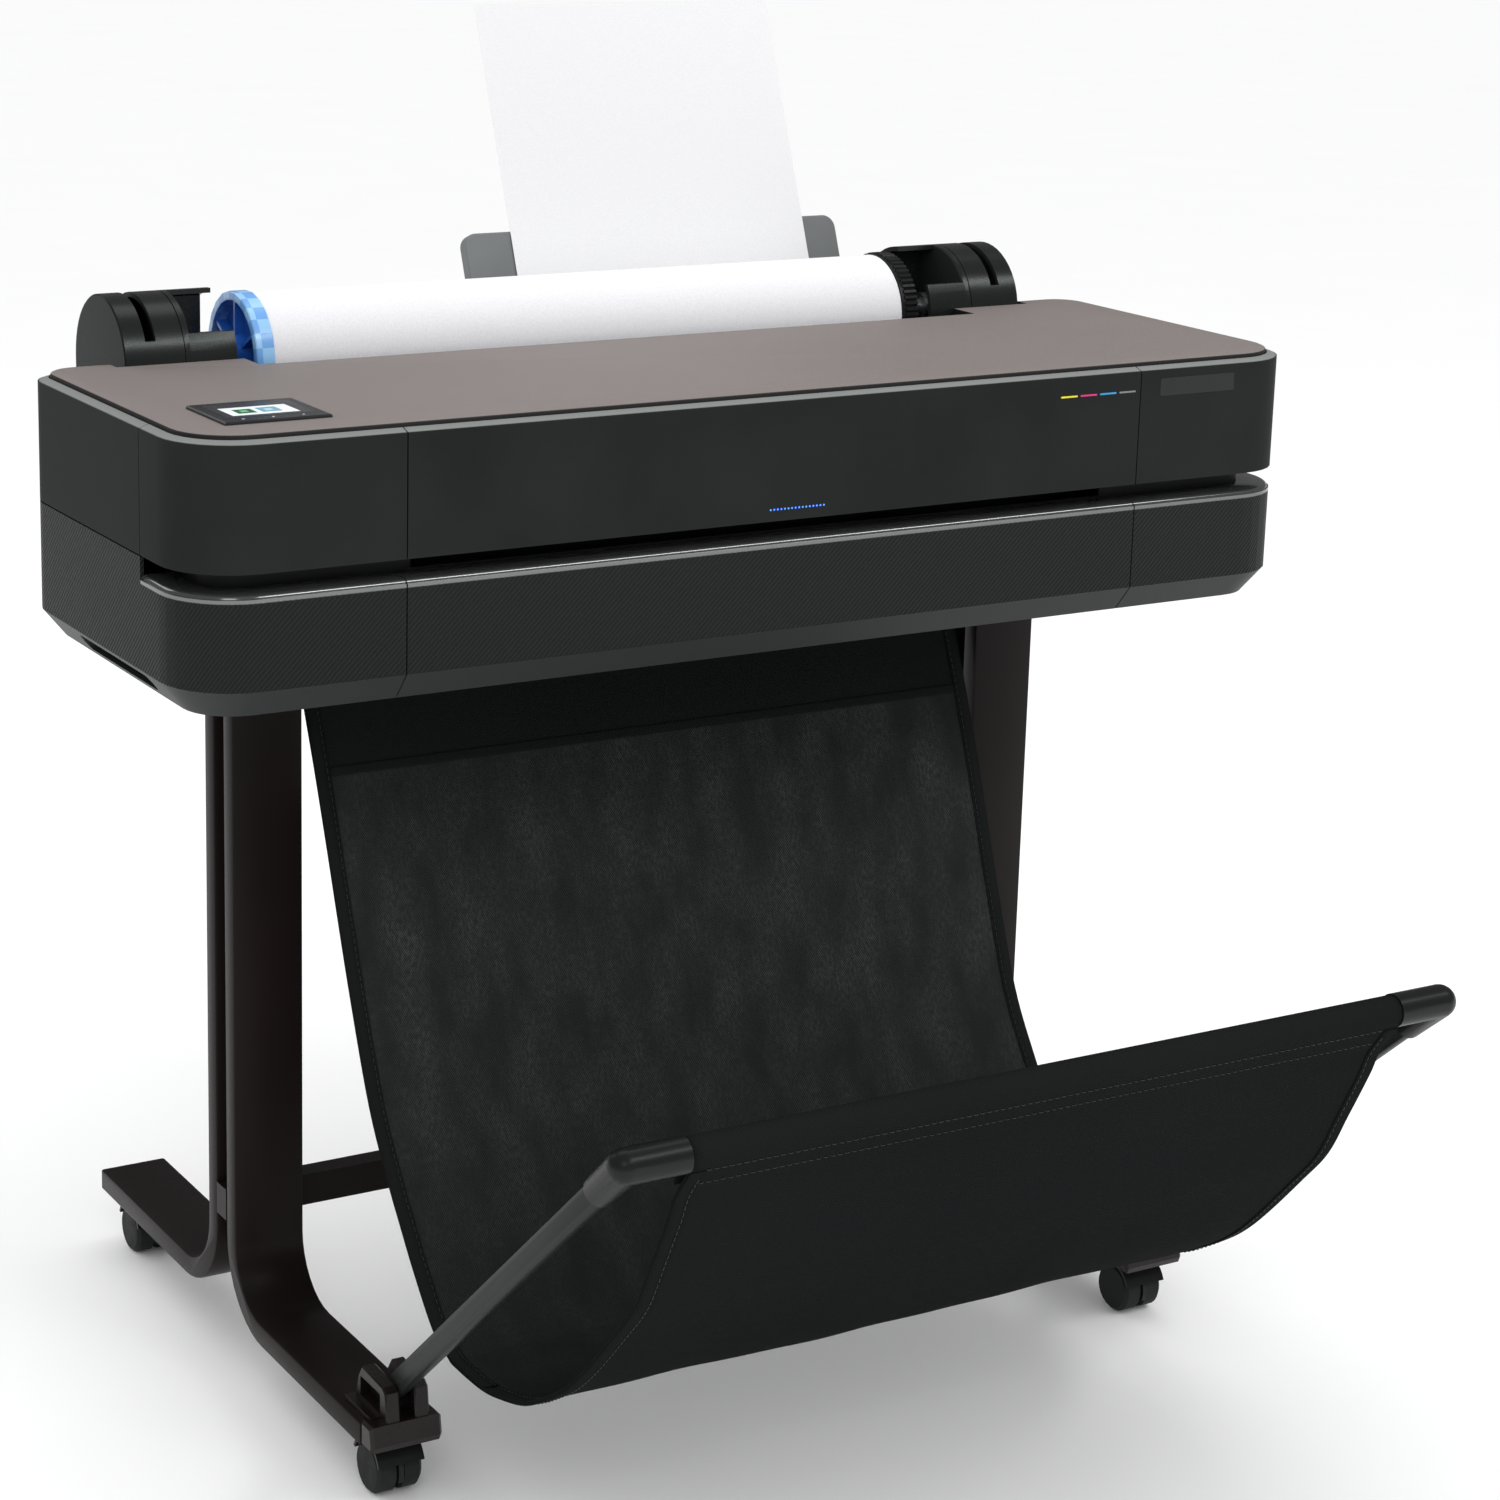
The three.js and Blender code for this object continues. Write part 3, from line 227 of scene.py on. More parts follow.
def ribbed_plastic():
    """Lower covers: slanted ribs round the walls with painted shade in their grooves and painted light on
    their crests, a plain chamfer painted paler as painted light from the floor, painted highlights along
    sharp edges and a polished ledge on top.
    """
    g = Graph("lower_plastic", 0.5, Specular_IOR_Level=0.14, IOR=1.3)
    base = linear(36, 39, 38)
    x, y, z = g.axes()
    across = g.math("MULTIPLY", g.math("SIGN", x), g.math("SUBTRACT", y, FRONT))
    along = g.math("ADD", x, across)
    ribs = g.wave(g.math("SUBTRACT", along, z), RIB_PITCH * MM)
    walls = g.between(z, CHAMFER_Z * MM, (LEDGE_Z + RECESS_HIGH) * MM, 0.0006)
    ledge = g.math("MULTIPLY", g.rescale(z, LEDGE_Z * MM, (LEDGE_Z + 0.6) * MM),
                   g.rescale(y, FRONT + LEDGE_DEEP * MM, FRONT + (LEDGE_DEEP + 1) * MM, 1.0, 0.0))
    raised = g.math("MULTIPLY", ribs, g.math("SUBTRACT", walls, ledge, clamp=True))
    # Painted shade and light: the ribs' grooves are painted darker and their crests paler.
    tone = g.mix(raised, shade(base, 0.8), shade(base, 1.25))
    # Painted light: the chamfer is painted paler, for the light it takes from the floor.
    tone = g.mix(g.between(z, 0.0, CHAMFER_Z * MM), tone, linear(58, 61, 60))
    # Painted highlight along sharp edges.
    tone = g.mix(g.math("MULTIPLY", g.edges(), 0.4), tone, shade(base, 1.9))
    g.color(g.mix(ledge, tone, linear(122, 124, 124)))
    g.feed(g.math("MULTIPLY", ledge, 0.85), g.shader.inputs["Metallic"])
    g.roughness(g.rescale(ledge, 0.0, 1.0, 0.42, 0.15))
    g.relief(g.math("MULTIPLY", g.noise(2600, 1), g.math("SUBTRACT", 1.0, ledge)), 0.00004)
    return g.relief(raised, 0.0006)


def lid_plastic():
    """Lid: warm grey with a fine diamond relief whose hollows are painted darker as painted shade; its
    vertical edge is painted dark as the painted shade of the seam round it.
    """
    g = Graph("lid_plastic", 0.5, Specular_IOR_Level=0.3)
    base = linear(144, 135, 132)
    x, y, _ = g.axes()
    pitch = 2.4 * MM
    right = g.wave(g.math("ADD", x, y), pitch)
    left = g.wave(g.math("SUBTRACT", x, y), pitch)
    diamond = g.math("MULTIPLY", right, left)
    slow = g.rescale(g.noise(5, 3), 0.3, 0.7)
    tone = g.mix(slow, shade(base, 0.93), shade(base, 1.07))
    # Painted shade: the hollows of the diamond relief are painted darker.
    tone = g.mix(diamond, shade(base, 0.72), tone)
    # Painted shade: the vertical edge is painted dark, for the shade in the seam round the lid.
    g.color(g.mix(g.facing("Z", 0.3, 0.6), linear(30, 30, 30), tone))
    g.roughness(g.rescale(diamond, 0.0, 1.0, 0.62, 0.5))
    return g.relief(diamond, 0.00015)


def cover_plastic():
    """Upper covers: fine grain and a satin bevel along the top, painted pale grey as a painted highlight."""
    g = moulded("cover_plastic", (37, 40, 39), 0.48, grain=2200, shine=0.06, IOR=1.25)
    z = g.axes()[2]
    tone = g.shader.inputs["Base Color"].links[0].from_socket
    # Painted highlight: the bevel above RIM_Z is painted pale grey.
    rim = g.rescale(z, (RIM_Z + 0.1) * MM, (RIM_Z + 0.5) * MM)
    g.color(g.mix(rim, tone, linear(130, 133, 131)))
    rough = g.shader.inputs["Roughness"].links[0].from_socket
    return g.roughness(g.math("SUBTRACT", rough, g.math("MULTIPLY", rim, 0.12)))


def holder_plastic():
    """Roll holders: satin drums that catch the lamps, darker flat ends."""
    g = Graph("holder_plastic", 0.26, Specular_IOR_Level=0.1, IOR=1.25)
    drum = g.facing("X", 0.5, 0.2)
    slow = g.rescale(g.noise(7, 2), 0.3, 0.7)
    g.color(g.mix(drum, g.mix(slow, linear(30, 32, 32), linear(40, 42, 42)), linear(60, 63, 62)))
    g.feed(g.math("MULTIPLY", drum, 0.75), g.shader.inputs["Metallic"])
    fine = g.noise(1200, 1)
    g.roughness(g.rescale(fine, 0.3, 0.7, 0.24, 0.28))
    return g.relief(fine, 0.00002)


def powder_coat(name, rgb, roughness):
    """Painted steel: orange-peel relief, slow tone changes and a painted highlight along sharp edges."""
    g = Graph(name, roughness, Specular_IOR_Level=0.22, IOR=1.35)
    base = linear(*rgb)
    slow = g.rescale(g.noise(6, 3), 0.3, 0.7)
    tone = g.mix(slow, shade(base, 0.85), shade(base, 1.15))
    # Painted highlight: sharp edges are mixed towards a paler copy of the paint colour.
    g.color(g.mix(g.math("MULTIPLY", g.edges(), 0.6), tone, shade(base, 2.0)))
    peel = g.noise(900, 2)
    g.roughness(g.rescale(peel, 0.3, 0.7, roughness - 0.05, roughness + 0.06))
    return g.relief(peel, 0.00005)


def steel():
    g = Graph("brushed_steel", 0.32, 0.9)
    streak = g.noise(60, 4, g.stretched((0.4, 12.0, 12.0)))
    g.color(g.mix(streak, linear(132, 134, 136), linear(196, 198, 200)))
    g.roughness(g.rescale(streak, 0.3, 0.7, 0.24, 0.42))
    return g.relief(streak, 0.00003)


def paper():
    g = Graph("paper", 0.82, Sheen_Weight=0.1)
    fibre = g.noise(700, 4)
    slow = g.noise(4, 2)
    tone = g.mix(g.rescale(fibre, 0.35, 0.65), linear(224, 224, 226), linear(232, 232, 233))
    g.color(g.mix(g.rescale(slow, 0.3, 0.7, 0.0, 0.5), tone, linear(228, 228, 230)))
    return g.relief(fibre, 0.00003)


def round_roll(g):
    """X, the offsets from the roll's axis in Y and Z, and the distance from it."""
    x, y, z = g.axes()
    dy = g.math("SUBTRACT", y, FRONT + ROLL_Y * MM)
    dz = g.math("SUBTRACT", z, ROLL_Z * MM)
    return x, dy, dz, g.math("SQRT", g.math("ADD", g.math("MULTIPLY", dy, dy), g.math("MULTIPLY", dz, dz)))


def roll_paper():
    """Paper on the roll: the wound ends show as fine rings."""
    g = Graph("roll_paper", 0.8, Sheen_Weight=0.1)
    radius = round_roll(g)[3]
    inside = g.rescale(radius, (ROLL_R - 0.8) * MM, (ROLL_R - 0.3) * MM, 1.0, 0.0)
    rings = g.math("MULTIPLY", g.wave(radius, 0.7 * MM), inside)
    fibre = g.noise(600, 4)
    tone = g.mix(g.rescale(fibre, 0.35, 0.65), linear(226, 226, 230), linear(234, 234, 237))
    g.color(g.mix(rings, tone, linear(205, 203, 200)))
    return g.relief(fibre, 0.00003)


def blue_plastic():
    """Flange at the left end: pale facetted rim whose patches are painted lighter and darker by turns as
    painted facet shading, deeper hub.
    """
    g = Graph("blue_plastic", 0.28, Coat_Weight=0.25, Coat_Roughness=0.1)
    x, dy, dz, radius = round_roll(g)
    rim = g.rescale(radius, RIM_IN * MM, RIM_OUT * MM)
    slow = g.rescale(g.noise(30, 2), 0.3, 0.7)
    turn = g.math("ARCTAN2", dz, dy)
    stagger = g.math("GREATER_THAN", x, RIM_SPLIT * MM)
    patch = g.math("FLOOR", g.math("ADD", g.math("MULTIPLY", turn, RIM_PATCHES / (2 * math.pi)), stagger))
    # Painted facet shading: patches round the rim are painted lighter and darker by turns.
    pale = g.math("FLOORED_MODULO", patch, 2.0)
    hub = g.mix(slow, linear(26, 78, 168), linear(42, 102, 196))
    edge = g.mix(pale, linear(112, 168, 230), linear(152, 202, 245))
    g.color(g.mix(rim, hub, edge))
    return g.relief(g.noise(1500, 1), 0.00003)


def rubber():
    g = Graph("rubber", 0.7, Specular_IOR_Level=0.2)
    dust = g.rescale(g.noise(60, 4), 0.45, 0.75)
    g.color(g.mix(dust, linear(24, 26, 26), linear(40, 41, 40)))
    g.roughness(g.rescale(dust, 0.0, 1.0, 0.55, 0.8))
    return g.relief(g.noise(1800, 2), 0.00008)


def grit_roller():
    g = Graph("grit_roller", 0.85)
    grit = g.noise(5200, 1)
    g.color(g.mix(grit, linear(30, 30, 31), linear(64, 64, 66)))
    return g.relief(grit, 0.00015)


def toothed_belt():
    g = Graph("toothed_belt", 0.75)
    teeth = g.wave(g.axes()[0], 2.0 * MM)
    g.color(g.mix(teeth, linear(18, 18, 18), linear(44, 44, 45)))
    return g.relief(teeth, 0.0003)


def circuit_board():
    g = Graph("circuit_board", 0.45, Coat_Weight=0.2, Coat_Roughness=0.2)
    n = g.node("ShaderNodeTexVoronoi", distance="MANHATTAN", feature="DISTANCE_TO_EDGE")
    g.feed(g.coord, n.inputs["Vector"])
    n.inputs["Scale"].default_value = 160
    trace = g.rescale(n.outputs["Distance"], 0.03, 0.07, 1.0, 0.0)
    g.color(g.mix(trace, linear(24, 72, 44), linear(96, 148, 92)))
    return g.relief(trace, 0.00005)


def display():
    """Lit window with a green and a blue tile on white; nothing is written on it."""
    g = Graph("display", 0.25, Specular_IOR_Level=0.2)
    x, y, _ = g.axes()
    low, high = place(*LIT_LOW, 0), place(*LIT_HIGH, 0)
    wide, deep = high.x - low.x, high.y - low.y

    def tile(x0, x1, y0, y1):
        return g.math("MULTIPLY", g.between(x, low.x + x0 * wide, low.x + x1 * wide),
                      g.between(y, low.y + y0 * deep, low.y + y1 * deep))

    slow = g.rescale(g.noise(120, 2), 0.3, 0.7)
    look = g.mix(slow, linear(222, 226, 228), linear(234, 238, 239))
    tiles = (
        ((0.14, 0.42, 0.22, 0.74), (22, 96, 50)),
        ((0.22, 0.33, 0.38, 0.60), (110, 178, 130)),
        ((0.50, 0.80, 0.22, 0.80), (108, 158, 178)),
        ((0.59, 0.70, 0.40, 0.62), (178, 208, 218)),
    )
    for sides, rgb in tiles:
        look = g.mix(tile(*sides), look, linear(*rgb))
    lit = tile(0.0, 1.0, 0.0, 1.0)
    g.color(g.mix(lit, linear(52, 53, 55), look))
    g.feed(g.mix(lit, (0.0, 0.0, 0.0, 1.0), look), g.shader.inputs["Emission Color"])
    g.shader.inputs["Emission Strength"].default_value = 0.2
    return g


def woven_cloth():
    """Black polyester twill in cloth coordinates; below the cross seam the rear panel is painted paler,
    partly real dust and partly painted light.
    """
    g = Graph("woven_cloth", 0.9, Specular_IOR_Level=0.03, IOR=1.3)
    uv = g.node("ShaderNodeUVMap", uv_map="cloth").outputs[0]
    u, v, _ = g.axes(uv)
    pitch = 2.2 * MM
    twill = g.wave(g.math("ADD", u, v), pitch)
    cross = g.wave(g.math("SUBTRACT", u, v), pitch)
    weave = g.math("ADD", g.math("MULTIPLY", twill, 0.65), g.math("MULTIPLY", cross, 0.35))
    base = linear(37, 39, 39)
    seam = HANG_FROM + SEAM_DOWN + SEAM_HALF
    inner = (CLOTH_HALF - HEM) * MM
    below = g.math("MULTIPLY", g.rescale(v, seam * MM, (seam + 2) * MM),
                   g.rescale(v, DUST_AND_LIGHT_END * 0.5 * MM, DUST_AND_LIGHT_END * MM, 1.0, 0.0))
    back = g.math("MULTIPLY", below, g.between(u, -inner, inner, 0.001))
    runs = g.node("ShaderNodeMapping")
    g.feed(uv, runs.inputs["Vector"])
    runs.inputs["Scale"].default_value = (1.0, 0.45, 1.0)
    patches = g.rescale(g.noise(32, 8, runs.outputs[0]), 0.36, 0.74)
    fluff = g.rescale(g.noise(430, 3, runs.outputs[0]), 0.38, 0.7)
    tone = g.mix(g.rescale(g.noise(2.6, 2, uv), 0.3, 0.7), shade(base, 0.82), shade(base, 1.02))
    tone = g.mix(weave, shade(base, 0.4), tone)
    # Painted light and dust: a lift of 0.2 over the whole rear panel is painted light, and the dust patches
    # on top of it are real.
    dust = g.math("ADD", 0.2, g.math("MULTIPLY", patches, g.rescale(fluff, 0.0, 1.0, 0.15, 0.8)))
    dust_and_light_tone = g.mix(weave, linear(36, 38, 38), linear(82, 85, 85))
    g.color(g.mix(g.math("MULTIPLY", back, dust), tone, dust_and_light_tone))
    g.roughness(g.rescale(weave, 0.0, 1.0, 0.95, 0.8))
    return g.relief(weave, 0.0004)


def plain(name, rgb, roughness, grain=1800):
    return moulded(name, rgb, roughness, grain=grain, depth=0.00004)


def tinted(name, rgb, glow=0.0):
    g = Graph(name, 0.35)
    base = linear(*rgb)
    look = g.mix(g.rescale(g.noise(400, 2), 0.3, 0.7), shade(base, 0.92), shade(base, 1.06))
    g.color(look)
    if glow:
        g.feed(look, g.shader.inputs["Emission Color"])
        g.shader.inputs["Emission Strength"].default_value = glow
    return g


# ---------------------------------------------------------------- CAD nodes
FINISHES = {
    "cover": cover_plastic(),
    "lower": ribbed_plastic(),
    "top": lid_plastic(),
    "gloss": moulded("bezel_gloss", (44, 45, 47), 0.3, grain=900, depth=0.00001),
    "screen": display(),
    "inner": plain("inner_plastic", (24, 25, 25), 0.55),
    "leg": powder_coat("leg_paint", (26, 20, 19), 0.36),
    "bracket": moulded("bracket_plastic", (24, 17, 17), 0.28, shine=0.3),
    "black": moulded("black_plastic", (26, 27, 27), 0.32, 1800, 0.00004, shine=0.22),
    "tube": powder_coat("tube_paint", (37, 41, 39), 0.34),
    "paper": paper(),
    "blue": blue_plastic(),
    "steel": steel(),
    "tray": plain("tray_plastic", (108, 111, 111), 0.48),
    "holder": holder_plastic(),
    "rubber": rubber(),
    "roller": grit_roller(),
    "belt": toothed_belt(),
    "board": circuit_board(),
}
SLOT_OF = {s["node"]: s["material_slot"] for s in frame["record"]["subparts"]}
ROLL_PAPER = roll_paper()
CLOTH_NODES = ("bin_cloth_rear", "bin_cloth_front")


def smoothing(angle=32):
    """Modifier group that welds the facets and smooths what meets below the angle."""
    tree = bpy.data.node_groups.new("smooth_by_angle", "GeometryNodeTree")
    tree.interface.new_socket("Geometry", in_out="INPUT", socket_type="NodeSocketGeometry")
    tree.interface.new_socket("Geometry", in_out="OUTPUT", socket_type="NodeSocketGeometry")
    start, end = tree.nodes.new("NodeGroupInput"), tree.nodes.new("NodeGroupOutput")
    weld = tree.nodes.new("GeometryNodeMergeByDistance")
    weld.inputs["Distance"].default_value = 0.00001
    faces = tree.nodes.new("GeometryNodeSetShadeSmooth")
    edges = tree.nodes.new("GeometryNodeSetShadeSmooth")
    edges.domain = "EDGE"
    bend = tree.nodes.new("GeometryNodeInputMeshEdgeAngle")
    flat = tree.nodes.new("FunctionNodeCompare")
    flat.operation = "LESS_THAN"
    flat.inputs["B"].default_value = math.radians(angle)
    link = tree.links.new
    link(start.outputs[0], weld.inputs["Geometry"])
    link(weld.outputs[0], faces.inputs["Geometry"])
    link(faces.outputs[0], edges.inputs["Geometry"])
    link(bend.outputs["Unsigned Angle"], flat.inputs["A"])
    link(flat.outputs[0], edges.inputs["Shade Smooth"])
    link(edges.outputs[0], end.inputs[0])
    return tree


SMOOTH = smoothing()


def finish_nodes():
    for name, node in NODES.items():
        if name in CLOTH_NODES:
            continue
        finish = ROLL_PAPER if name == "paper_roll" else FINISHES[SLOT_OF[name]]
        node.data.materials.clear()
        node.data.materials.append(finish.material)
        node.modifiers.new("smooth", "NODES").node_group = SMOOTH


# ---------------------------------------------------------------- mesh helpers
def mesh_object(name, verts, faces, material, smooth=True):
    mesh = bpy.data.meshes.new(name)
    mesh.from_pydata([tuple(v) for v in verts], [], faces)
    mesh.validate()
    made = bpy.data.objects.new(name, mesh)
    bpy.context.scene.collection.objects.link(made)
    mesh.materials.append(material)
    mesh.polygons.foreach_set("use_smooth", [smooth] * len(mesh.polygons))
    mesh.update()
    return made


def rounded_outline(wide, high, radius, steps=5):
    """Points of a rounded rectangle about the origin, anticlockwise."""
    points = []
    for cx, cy, start in ((1, 1, 0), (-1, 1, 90), (-1, -1, 180), (1, -1, 270)):
        for i in range(steps + 1):
            a = math.radians(start + 90 * i / steps)
            points.append((cx * (wide / 2 - radius) + radius * math.cos(a),
                           cy * (high / 2 - radius) + radius * math.sin(a)))
    return points


def inlay(name, centre, right, up, wide, high, radius, thick, material):
    """A thin rounded plate with a softened rim, centred on a surface point."""
    right, up = Vector(right), Vector(up)
    out = right.cross(up).normalized()
    rings = ((0.0, 0.0), (0.0, 0.55), (0.35, 1.0))
    verts, faces = [], []
    for inset, lift in rings:
        cut = inset * thick
        for a, b in rounded_outline(wide - 2 * cut, high - 2 * cut, max(radius - cut, 0.05)):
            verts.append(centre + (right * a + up * b + out * (lift * thick)) * MM)
    n = len(verts) // len(rings)
    for k in range(len(rings) - 1):
        for i in range(n):
            j = (i + 1) % n
            faces.append((k * n + i, k * n + j, (k + 1) * n + j, (k + 1) * n + i))
    faces.append(tuple(range(2 * n, 3 * n)))
    faces.append(tuple(reversed(range(n))))
    return mesh_object(name, verts, faces, material, smooth=False)


# ---------------------------------------------------------------- fabric bin
def spline(points, steps):
    """Uniform Catmull-Rom line through 2-D points."""
    line = []
    last = len(points) - 1
    for i in range(last):
        p0, p1 = points[max(i - 1, 0)], points[i]
        p2, p3 = points[i + 1], points[min(i + 2, last)]
        for k in range(steps):
            t = k / steps
            line.append(tuple(0.5 * (2 * b + (c - a) * t + (2 * a - 5 * b + 4 * c - d) * t * t
                                     + (3 * b - a - 3 * c + d) * t ** 3)
                              for a, b, c, d in zip(p0, p1, p2, p3)))
    return line + [points[last]]


def around(y, z, radius, start, end, steps=14):
    """Part of a circle in Y and Z, angles in degrees from +Y towards +Z."""
    return [(y + radius * math.cos(math.radians(start + (end - start) * i / steps)),
             z + radius * math.sin(math.radians(start + (end - start) * i / steps)))
            for i in range(steps + 1)]


ROD_LOOP = ROD_R + 1.3
BAR_LOOP = BAR_R + 1.5
ROD_WRAP, BAR_WRAP = (-70, 170), (212, -30)   # angles of the loops round the tubes
CLOTH_GRID = 12                  # spacing of the cloth's points
HANG = [
    (ROD_Y - ROD_LOOP, ROD_Z), (223, 555), (204, 510), (180, 450), (165, 411), (137, 339), (103, 259),
    (70, 208), (50, 182), (25, 151), (-8, 116), (-33, 104), (-46, 101), (-89, 101), (-122, 107),
    (-158, 118), (-190, 136), (-221, 158), (-250, 186), (-288, 229), (-315, 262), (-334, 300),
    (-355, 343), (-364, 364), (BAR_Y - 0.77 * BAR_LOOP, BAR_Z - 0.64 * BAR_LOOP),
]


def cloth_line():
    """The cloth's section: flap, loop round the rod, the hang, loop round the bar, flap."""
    hang = spline(HANG, 6)
    rod = around(ROD_Y, ROD_Z, ROD_LOOP, *ROD_WRAP)
    bar = around(BAR_Y, BAR_Z, BAR_LOOP, *BAR_WRAP)
    rod_flap = [(ROD_Y - 5.6, ROD_Z - FLAP), (ROD_Y - 3.2, ROD_Z - 0.55 * FLAP)]
    bar_flap = [(BAR_Y + 13.2, BAR_Z - 0.55 * FLAP), (BAR_Y + 14.6, BAR_Z - FLAP)]
    return rod_flap + rod + hang + bar + bar_flap, (len(rod_flap) + len(rod), len(bar) + len(bar_flap))


LINE, (HANG_START, HANG_TAIL) = cloth_line()
LENGTHS = [0.0]
for one, two in zip(LINE, LINE[1:]):
    LENGTHS.append(LENGTHS[-1] + math.dist(one, two))
HANG_FROM = LENGTHS[HANG_START]
HANG_TO = LENGTHS[len(LINE) - 1 - HANG_TAIL]


def on_line(s):
    """Point and inward normal of the cloth's section at length s."""
    s = min(max(s, 0.0), LENGTHS[-1])
    i = max(k for k in range(len(LENGTHS) - 1) if LENGTHS[k] <= s)
    t = (s - LENGTHS[i]) / (LENGTHS[i + 1] - LENGTHS[i])
    (y0, z0), (y1, z1) = LINE[i], LINE[i + 1]
    long = math.dist((y0, z0), (y1, z1))
    return (y0 + (y1 - y0) * t, z0 + (z1 - z0) * t), ((z0 - z1) / long, (y1 - y0) / long)


def narrowed(s):
    """Width of the cloth at length s, as a share of its width at the rod."""
    t = min(max((s - HANG_FROM) / (HANG_TO - HANG_FROM), 0.0), 1.0)
    return 1 + (CLOTH_FRONT_HALF / CLOTH_HALF - 1) * t


# Height in mm, turn across the cloth, turn along it, and start of each slow wave in the cloth.
WAVES = ((0.9, 5.1, 2.4, 0.6), (0.5, 11.3, -5.0, 1.9), (0.5, 2.2, 17.9, 0.0), (0.3, 23.0, 9.0, 0.0))
EDGE_WAVE = 1.6


def slack(s, x):
    """How far the hanging cloth waves in and out, mm; none at the rod and the bar."""
    t = (s - HANG_FROM) / (HANG_TO - HANG_FROM)
    if not 0 < t < 1:
        return 0.0
    hold = math.sin(math.pi * t) ** 0.7
    u = x / CLOTH_HALF
    waves = sum(high * math.sin(across * u + along * t + start) for high, across, along, start in WAVES)
    edge = -EDGE_WAVE * abs(u) ** 6 * math.sin(9 * t + (1.0 if u > 0 else 2.1))
    return hold * (waves + edge)


def cloth_strip(name, s_from, s_to, x_from, x_to, s_step, x_step, lift, material, thick=CLOTH_T):
    """A strip of cloth along the section, lifted off it, with its flat coordinates as UVs."""
    rows = max(2, round((s_to - s_from) / s_step)) + 1
    stops = sorted({round(s_from + (s_to - s_from) * i / (rows - 1), 4) for i in range(rows)}
                   | {round(s, 4) for s in LENGTHS if s_from < s < s_to})
    columns = max(2, round((x_to - x_from) / x_step)) + 1
    verts, faces, flat = [], [], []
    for s in stops:
        (y, z), (ny, nz) = on_line(s)
        for k in range(columns):
            x = x_from + (x_to - x_from) * k / (columns - 1)
            away = lift + slack(s, x)
            verts.append(place(x * narrowed(s), y + ny * away, z + nz * away))
            flat.append((x * MM, s * MM))
    for i in range(len(stops) - 1):
        for k in range(columns - 1):
            a = i * columns + k
            faces.append((a, a + 1, a + columns + 1, a + columns))
    made = mesh_object(name, verts, faces, material)
    layer = made.data.uv_layers.new(name="cloth")
    for loop in made.data.loops:
        layer.data[loop.index].uv = flat[loop.vertex_index]
    solid = made.modifiers.new("thickness", "SOLIDIFY")
    solid.thickness = thick * MM
    solid.offset = 0.0
    return made


def stitches(name, rows, material, pitch=6.0, long=4.2, radius=0.32):
    """Rows of short raised threads; a row is (fixed axis, its value, from, to, lift)."""
    verts, faces = [], []
    sides = 5
    arch = ((-0.5, -0.25), (-0.25, 0.3), (0.25, 0.3), (0.5, -0.25))   # share of the length, rise in mm

    def point(axis, fixed, run, lift):
        s, x = (fixed, run) if axis == "s" else (run, fixed)
        (y, z), (ny, nz) = on_line(s)
        away = lift + slack(s, x)
        return place(x * narrowed(s), y + ny * away, z + nz * away), Vector((0, ny, nz))

    for axis, fixed, start, end, lift in rows:
        for i in range(int((end - start) / pitch)):
            at = start + (i + 0.5) * pitch
            base = len(verts)
            for part, rise in arch:
                here, out = point(axis, fixed, at + part * long, lift + rise * math.copysign(1, lift))
                ahead, _ = point(axis, fixed, at + (part + 0.05) * long, lift)
                behind, _ = point(axis, fixed, at + (part - 0.05) * long, lift)
                along = (ahead - behind).normalized()
                side = along.cross(out).normalized()
                for k in range(sides):
                    a = 2 * math.pi * k / sides
                    verts.append(here + (side * math.cos(a) + out * math.sin(a)) * radius * MM)
            for ring in range(3):
                for k in range(sides):
                    a, b = base + ring * sides + k, base + ring * sides + (k + 1) % sides
                    faces.append((a, b, b + sides, a + sides))
            faces.append(tuple(base + k for k in reversed(range(sides))))
            faces.append(tuple(base + 3 * sides + k for k in range(sides)))
    return mesh_object(name, verts, faces, material)


def fabric_bin():
    """The bin's cloth with its hems, cross seam and stitching."""
    cloth_look = woven_cloth().material
    thread_look = tinted("thread", (38, 40, 40)).material
    total = LENGTHS[-1]
    inner = CLOTH_HALF - HEM
    both = (("inside", 1), ("outside", -1))
    cloth = cloth_strip("bin_cloth", 0, total, -CLOTH_HALF, CLOTH_HALF, CLOTH_GRID, CLOTH_GRID, 0.0,
                        cloth_look)
    extras = []
    for side, s in (("left", -1), ("right", 1)):
        from_x, to_x = sorted((s * inner, s * (CLOTH_HALF + 0.4)))
        extras += [cloth_strip(f"hem_{side}_{face}", HANG_FROM + HEM_END, HANG_TO - HEM_END, from_x, to_x,
                               9, 5, off * HEM_LIFT, cloth_look, HEM_THICK) for face, off in both]
    seam = HANG_FROM + SEAM_DOWN
    extras += [cloth_strip(f"seam_band_{face}", seam - SEAM_HALF, seam + SEAM_HALF, -inner, inner,
                           SEAM_HALF / 2, CLOTH_GRID, off * SEAM_LIFT, cloth_look, SEAM_THICK)
               for face, off in both]
    side_rows = [("x", s * (inner + 2.5), HANG_FROM + 2 * HEM_END, HANG_TO - 2 * HEM_END,
                  off * HEM_STITCH_LIFT) for s in (-1, 1) for off in (1, -1)]
    cross_rows = [("s", at, -inner, inner, off * STITCH_LIFT)
                  for at in (HANG_FROM + FLAP - 3, HANG_TO - FLAP + 6, HANG_TO - HEM_END)
                  for off in (1, -1)]
    extras.append(stitches("stitches", side_rows + cross_rows, thread_look))
    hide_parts(*CLOTH_NODES)
    for piece in (cloth, *extras):
        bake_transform(piece)


